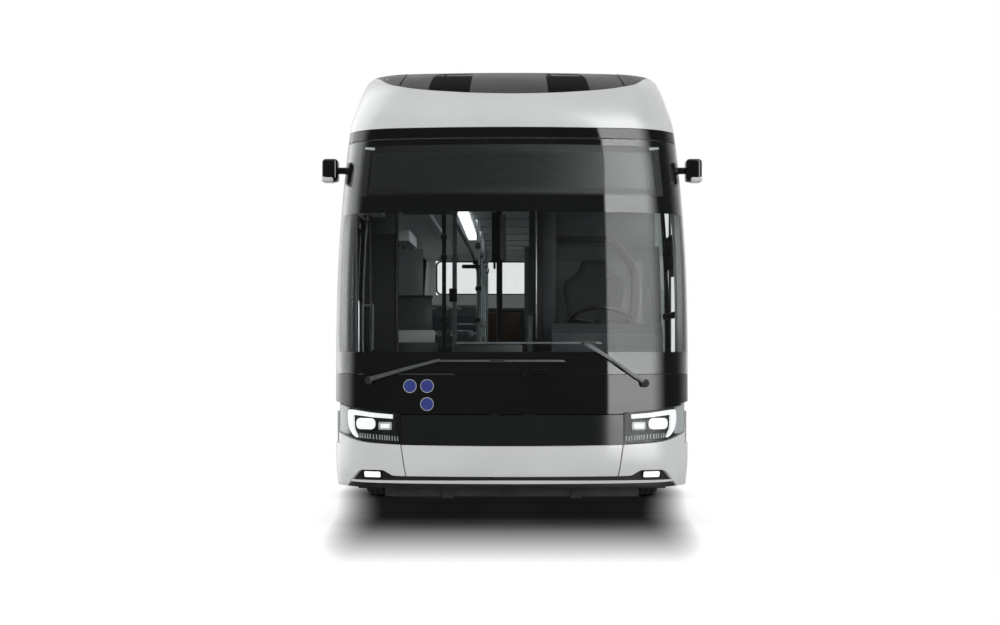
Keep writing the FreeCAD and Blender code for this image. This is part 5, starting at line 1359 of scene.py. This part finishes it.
# Screen wipers: hub, tapered arm and a blade with a rubber edge, lying on the glass
wiperSizes = dict(
    left=dict(hub=(-1.009, 1.039), arm=[(-1.00, 1.045), (-0.93, 1.066), (-0.72, 1.125), (-0.50, 1.181)],
              blade=(-0.574, 0.372, 1.174), joint=-0.101),
    right=dict(hub=(0.935, 1.018), arm=[(0.93, 1.025), (0.86, 1.068), (0.70, 1.180), (0.555, 1.276), (0.50, 1.296)],
               blade=(-0.398, 0.632, 1.299), joint=0.532),
)


def wiperPieces():
    for side, w in wiperSizes.items():
        bm = bmesh.new()
        s, z = w["hub"]
        for r, out, deep in ((0.030, 0.016, 0.036), (0.019, 0.032, 0.02)):
            coneInto(bm, skinPoint(z, uOfS(s), -out), r * 0.9, r, deep, turn=90)
        finishMesh("wiper_hub_" + side, bm, blackAbs, node="wipers" if side == "left" else None, angle=50)
        widths = spread(0.017, 0.009, len(w["arm"]) - 1)
        upper = [(a, b + h) for (a, b), h in zip(w["arm"], widths)]
        lower = [(a, b - h) for (a, b), h in zip(w["arm"], widths)]
        arm = upper + lower[::-1] if side == "right" else lower + upper[::-1]
        s0, s1, z = w["blade"]
        spine = [(s0, z - 0.006), (s1, z - 0.006), (s1 - 0.02, z + 0.008), (s0 + 0.02, z + 0.008)]
        joint = roundedBox(w["joint"] - 0.05, w["joint"] + 0.05, z - 0.010, z + 0.012, 0.006)
        for name, material, outline, inset, thick, bevel in (
                ("arm", satinGrey, arm, -0.036, 0.012, 0.004), ("blade", satinGrey, spine, -0.022, 0.010, 0.002),
                ("rubber", sealRubber, rect(s0 + 0.004, s1 - 0.004, z - 0.004, z + 0.002), -0.013, 0.013, 0.001),
                ("joint", blackAbs, joint, -0.030, 0.014, 0.003)):
            skinPlate("wiper_%s_%s" % (name, side), material, [outline], inset, thick, bevel, 0.05)


def cameraPods():
    # Mirror cameras: gloss black pods on short arms, with a white lower shell and a lens facing back
    low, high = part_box("camera_arms")
    pod = dict(wide=0.118, lowZ=2.474, highZ=2.638, white=0.036, armFrom=1.18, armLow=2.532, armHigh=2.578,
               lensZ=2.575, lensIn=0.06)
    lowZ, tip, inner = pod["lowZ"], high.x, high.x - pod["wide"]
    y0, y1 = low.y + 0.002, high.y - 0.004

    def block(bm, sign, near, far, lowCorner, highCorner, bevel, segments):
        a, b = sorted((sign * near, sign * far))
        boxInto(bm, (a,) + lowCorner, (b,) + highCorner, bevel, segments)

    for side, sign in (("left", 1), ("right", -1)):
        bm = bmesh.new()
        block(bm, sign, tip - 0.002, inner, (y0, lowZ), (y1, pod["highZ"]), 0.026, 4)
        block(bm, sign, pod["armFrom"], inner + 0.01, (y0 + 0.045, pod["armLow"]),
              (y0 + 0.118, pod["armHigh"]), 0.014, 3)
        finishMesh("camera_pod_" + side, bm, blackGlass, node="camera_arms" if side == "left" else None,
                   angle=50)
        bm = bmesh.new()
        block(bm, sign, tip + 0.0005, inner + 0.03, (y0 - 0.002, lowZ - 0.003), (y1 + 0.002, lowZ + pod["white"]),
              0.015, 4)
        finishMesh("camera_shell_" + side, bm, whitePaint, angle=50)
        bm = bmesh.new()
        for r, depth in ((0.027, 0.012), (0.019, 0.018)):
            coneInto(bm, (sign * (tip - pod["lensIn"]), y1 - 0.002, pod["lensZ"]), r, r * 0.92, depth, turn=-90)
        finishMesh("camera_lens_" + side, bm, lampLens, angle=50)


wiperPieces()
cameraPods()


print("stage: wheels")
tyreLook = dict(half=0.138, bead=0.286, groove=0.013, grooves=(0.072, 0.026), steps=168, pitch=6, notch=0.009)
# Where the outer faces of the discs and of the hubs lie, from the middle of the bus
wheelFaces = dict(front=(1.233, 1.272), rear=(0.964, 1.132))


def tyreSection():
    # Half section from the bead over the wall's rib and the shoulder to the crown, then the hollow inside
    t = tyreLook
    h = t["half"]
    half = [(h - 0.034, t["bead"]), (h - 0.020, 0.300), (h - 0.008, 0.330), (h - 0.0015, 0.362), (h - 0.002, 0.388),
            (h, 0.392), (h, 0.397), (h - 0.003, 0.401), (h - 0.005, 0.425), (h - 0.010, 0.445), (h - 0.018, 0.461),
            (h - 0.026, 0.4695), (h - 0.034, 0.4735)]
    for at in t["grooves"]:
        crown = tyreR - 0.0055 * (at / 0.107) ** 2
        half += [(at + 0.0062, crown), (at + 0.0042, crown - t["groove"]), (at - 0.0042, crown - t["groove"]),
                 (at - 0.0062, crown)]
    half.append((0.0, tyreR - 0.0002))
    inner = [(0.0, 0.452), (h - 0.030, 0.436), (h - 0.018, 0.385), (h - 0.032, 0.325), (h - 0.052, t["bead"])]
    return half + [(-x, r) for x, r in half[-2::-1]] + [(-x, r) for x, r in inner[::-1]] + inner[1:]


def tyreInto(bm, x, y):
    # The section turned about the axle, with notches across the shoulders
    section = tyreSection()
    rings = []
    for k, (c, s) in enumerate(circle(0, 0, 1, tyreLook["steps"])):
        ring = []
        for a, r in section:
            if abs(a) > 0.080 and r > 0.460 and k % tyreLook["pitch"] == 0:
                r -= tyreLook["notch"]
            ring.append(bm.verts.new((x + a, y + r * c, tyreR + r * s)))
        rings.append(ring)
    for one, two in zip(rings, rings[1:] + rings[:1]):
        for k in range(len(section)):
            n = (k + 1) % len(section)
            bm.faces.new((one[k], one[n], two[n], two[k]))


def coneOutwards(bm, sign, x0, deep, r0, r1, at, sides):
    coneInto(bm, (sign * (x0 + deep / 2),) + at, r0, r1, deep, sides, 90 * sign, "Y")


def wheelPieces():
    for end, many, y in (("front", "", frontAxleY), ("rear", "s", rearAxleY)):
        for side, sign in (("left", 1), ("right", -1)):
            node = "%s_tyre%s_%s" % (end, many, side)
            body = "%s_wheel%s_%s" % (end, many, side)
            low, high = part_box(node)
            bm = bmesh.new()
            for x in ([low.x + tyreLook["half"], high.x - tyreLook["half"]] if many else [(low.x + high.x) / 2]):
                tyreInto(bm, x, y)
            finishMesh("tyres_%s_%s" % (end, side), bm, tyreRubber, body, node, 30)
            # Ten nuts on their ring, the studs' ends, and the cap of the hub with its bolts
            face, hub = wheelFaces[end]
            bm = bmesh.new()
            for at in circle(y, tyreR, 0.1575, 10):
                coneOutwards(bm, sign, face, 0.020, 0.0165, 0.0150, at, 6)
                coneOutwards(bm, sign, face, 0.030, 0.0095, 0.0085, at, 12)
            finishMesh("wheel_nuts_%s_%s" % (end, side), bm, brushedSteel, body, angle=30)
            bm = bmesh.new()
            coneOutwards(bm, sign, hub, 0.008, 0.094, 0.090, (y, tyreR), 48)
            coneOutwards(bm, sign, hub, 0.012, 0.062, 0.056, (y, tyreR), 40)
            for at in circle(y, tyreR, 0.078, 16)[1::2]:
                coneOutwards(bm, sign, hub, 0.015, 0.0065, 0.006, at, 6)
            finishMesh("hub_cap_%s_%s" % (end, side), bm, castIron, body, angle=30)


wheelPieces()


print("stage: roof and rear")
roofLook = dict(
    half=0.76, packs=((-4.30, -2.50), (-2.30, -0.50), (-0.30, 1.50)), packTop=3.15, ribHalf=0.022, ribs=6,
    climate=(1.80, 4.20), climateTop=3.24, fans=[(x, y) for x in (-0.38, 0.38) for y in (2.45, 3.50)],
    guardRings=(0.055, 0.10, 0.145, 0.19, 0.236), spokes=8, blades=7, bladeTilt=16,
)


def packDetails():
    half, top, packs = roofLook["half"], roofLook["packTop"], roofLook["packs"]
    wide = roofLook["ribHalf"]
    ribs = [((-0.66, y - wide, top - 0.002), (0.66, y + wide, top + 0.011))
            for y0, y1 in packs for y in spread(y0 + 0.12, y1 - 0.12, roofLook["ribs"])]
    flanges = [((-half - 0.012, y0 - 0.012, 3.066), (half + 0.012, y1 + 0.012, 3.074)) for y0, y1 in packs]
    eyes = [((x - 0.022, y - 0.008, top), (x + 0.022, y + 0.008, top + 0.040))
            for y0, y1 in packs for x in (-0.71, 0.71) for y in (y0 + 0.05, y1 - 0.05)]
    boxPiece("pack_lid_ribs", ribs, housingGrey, 0.005)
    boxPiece("pack_flanges", flanges, powderSteel, 0.003)
    boxPiece("pack_lifting_eyes", eyes, powderSteel, 0.007)
    for k, (before, after) in enumerate(zip(packs, packs[1:] + (roofLook["climate"],))):
        start, end = before[1], after[0]
        for x in (-0.45, -0.39, 0.39, 0.45):
            tubePiece("traction_cable_%d_%d" % (k, x * 100), [
                (x, start - 0.01, 2.98), (x, start + 0.05, 2.98), (x, (start + end) / 2, 2.91), (x, end - 0.05, 2.98),
                (x, end + 0.01, 2.98)], 0.014, cableOrange, corner=0.04, sides=12)


def climateUnit():
    half, top = roofLook["half"], roofLook["climateTop"]
    slats = [((x0, y, z), (x0 + 0.014, y + 0.62, z + 0.012)) for x0 in (-half - 0.010, half - 0.004)
             for y in (1.90, 2.69, 3.48) for z in [2.94 + 0.03 * k for k in range(8)]]
    boxPiece("climate_louvres", slats, blackAbs, 0.003)
    guards, blades = bmesh.new(), bmesh.new()
    for x, y in roofLook["fans"]:
        for ringR in roofLook["guardRings"]:
            rings = [[guards.verts.new((x + (ringR + dr) * c, y + (ringR + dr) * s, top + dz))
                      for dr, dz in ((-0.003, 0.001), (0.003, 0.001), (0.003, 0.007), (-0.003, 0.007))]
                     for c, s in circle(0, 0, 1, 40)]
            for one, two in zip(rings, rings[1:] + rings[:1]):
                for n in range(4):
                    guards.faces.new((one[n], one[(n + 1) % 4], two[(n + 1) % 4], two[n]))
        for k in range(roofLook["spokes"]):
            spoke = boxInto(guards, (0.03, -0.003, 0.0), (0.242, 0.003, 0.006))
            turn = Matrix.Rotation(2 * pi * k / roofLook["spokes"], 3, "Z")
            bmesh.ops.rotate(guards, verts=spoke, cent=(0, 0, 0), matrix=turn)
            bmesh.ops.translate(guards, verts=spoke, vec=(x, y, top + 0.0005))
        for k in range(roofLook["blades"]):
            blade = boxInto(blades, (0.05, -0.045, -0.002), (0.222, 0.045, 0.002))
            tilt = Matrix.Rotation(radians(roofLook["bladeTilt"]), 3, "X")
            tilt = Matrix.Rotation(2 * pi * k / roofLook["blades"], 3, "Z") @ tilt
            bmesh.ops.rotate(blades, verts=blade, cent=(0, 0, 0), matrix=tilt)
            bmesh.ops.translate(blades, verts=blade, vec=(x, y, top - 0.014))
        coneInto(blades, (x, y, top - 0.013), 0.062, 0.055, 0.026)
    finishMesh("fan_guards", guards, powderSteel, angle=40)
    finishMesh("fan_blades", blades, blackAbs, angle=40)


def rearDetails():
    # Round lamps in black rings, stop lamp over the window, reflectors, louvres and catches of the lid
    rear = dict(lampX=1.05, lampR=0.045, ring=0.006, louvreHalf=0.60, louvreLow=0.80, louvreHigh=1.26, pitch=0.046,
                slat=0.026)
    half, low, high, pitch = rear["louvreHalf"], rear["louvreLow"], rear["louvreHigh"], rear["pitch"]
    for z, tone, lens in ((1.160, "red", redLens), (1.030, "amber", amberLens), (0.900, "clear", clearLens)):
        at = (-rear["lampX"], rear["lampX"])
        outer = [circle(x, z, rear["lampR"]) for x in at]
        inner = [circle(x, z, rear["lampR"] - rear["ring"]) for x in at]
        wallPlate("tail_lamp_" + tone, lens, "tail_lens", [[line] for line in inner], onRear, -0.0108, 0.012, 0.004,
                  step=0.02, cross=0.3, node="tail_lamps" if tone == "red" else None)
        wallPlate("tail_lamp_ring_" + tone, blackAbs, "dark_trim", [list(pair) for pair in zip(outer, inner)], onRear,
                  -0.0085, 0.010, 0.001, step=0.03)

    def pair(at, half, z0, z1, r):
        return [roundedBox(s - half, s + half, z0, z1, r) for s in (-at, at)]

    slats = [roundedBox(-half, half, z, z + rear["slat"], 0.006)
             for z in [low + pitch * (k + 0.25) for k in range(int((high - low) / pitch))]]
    shadeField = (-half - 0.02, half + 0.02, low - 0.02, high + 0.005)
    for name, material, slot, outlines, inset, thick, bevel, body, step, cross in (
            ("stop_lamp_high", redLens, "tail_lens", [roundedBox(-0.17, 0.17, 2.520, 2.545, 0.008)],
                -0.004, 0.008, 0.002, "coach", 0.15, 0.06),
            ("rear_reflectors", redLens, "tail_lens", pair(0.93, 0.06, 0.470, 0.505, 0.006),
                -0.003, 0.006, 0.001, "coach", 0.15, 0.08),
            ("roof_marker_lamps", redLens, "tail_lens", pair(0.80, 0.05, 2.70, 2.722, 0.006),
                -0.004, 0.008, 0.002, "coach", 0.15, 0.08),
            ("lid_louvres", blackAbs, "dark_trim", slats, -0.0075, 0.007, 0.002, "lid", 1.0, 0.06),
            # The louvre field is a dark sheet just behind the slats: painted shade of the openings between them
            ("lid_louvre_shade_field", sealRubber, "dark_trim", [grown(shadeField, 0.0, 0.02)],
                -0.0035, 0.0045, 0.001, "lid", 0.1, 0.06),
            ("lid_catches", brushedSteel, "rail_steel", pair(0.62, 0.03, 0.712, 0.734, 0.006),
                -0.004, 0.006, 0.0015, "lid", 0.15, 0.05),
            ("lid_grip", blackAbs, "dark_trim", [roundedBox(-0.11, 0.11, 0.690, 0.722, 0.012)],
                -0.005, 0.007, 0.002, "lid", 0.15, 0.05),
            ("rear_valance", blackAbs, "dark_trim", [roundedBox(-0.98, 0.98, 0.284, 0.345, 0.012)],
                -0.003, 0.006, 0.002, "coach", 0.15, 0.08),
            ("rear_bumper_seams", sealRubber, "dark_trim", pair(0.70, 0.002, 0.350, 0.655, 0.001),
                -0.002, 0.003, 0, "coach", 0.15, 0.0),
            ("rear_air_outlet", wireMesh, "dark_trim", [roundedBox(-0.62, 0.62, 2.905, 3.085, 0.03)],
                -0.0045, 0.0055, 0.001, "coach", 0.06, 0.08)):
        wallPlate(name, material, slot, [[line] for line in outlines], onRear, inset, thick, bevel, body, step, cross)


packDetails()
climateUnit()
rearDetails()


# CAD pieces that stay take their real finish
slotFinishes = {
    "white_paint": whitePaint, "black_gloss": blackGlass, "dark_trim": blackAbs, "glass": sideGlass,
    "lamp_lens": clearLens, "tail_lens": redLens, "display": ledMatrix, "steel": powderSteel, "cast": castIron,
    "rim_paint": wheelAlloy, "tyre": tyreRubber, "bellows": bellowsRubber, "flooring": vinylFloor,
    "interior": liningGrey, "seat_cloth": moquette, "rail_steel": brushedSteel, "aluminium": anodised,
}
nodeFinishes = {
    "left_wall": sidePaint, "right_wall": sidePaint, "roof_units": housingGrey, "windscreen": screenGlass,
    "roof_visor": satinGrp, "front_flap": flapPaint, "dashboard": cabGrey, "cab_partition": cabGrey,
    "cab_door": cabGrey, "door_post_front_a": powderSteel, "door_post_front_b": powderSteel,
    "door_post_middle_a": powderSteel, "door_post_middle_b": powderSteel,
}


def dressNodes():
    for entry in frame["record"]["subparts"]:
        name = entry["node"]
        chosen = nodeFinishes.get(name) or slotFinishes[entry["material_slot"]]
        for holder in nodes[name].material_slots:
            holder.material = chosen


print("stage: finishes of the packed pieces")
dressNodes()
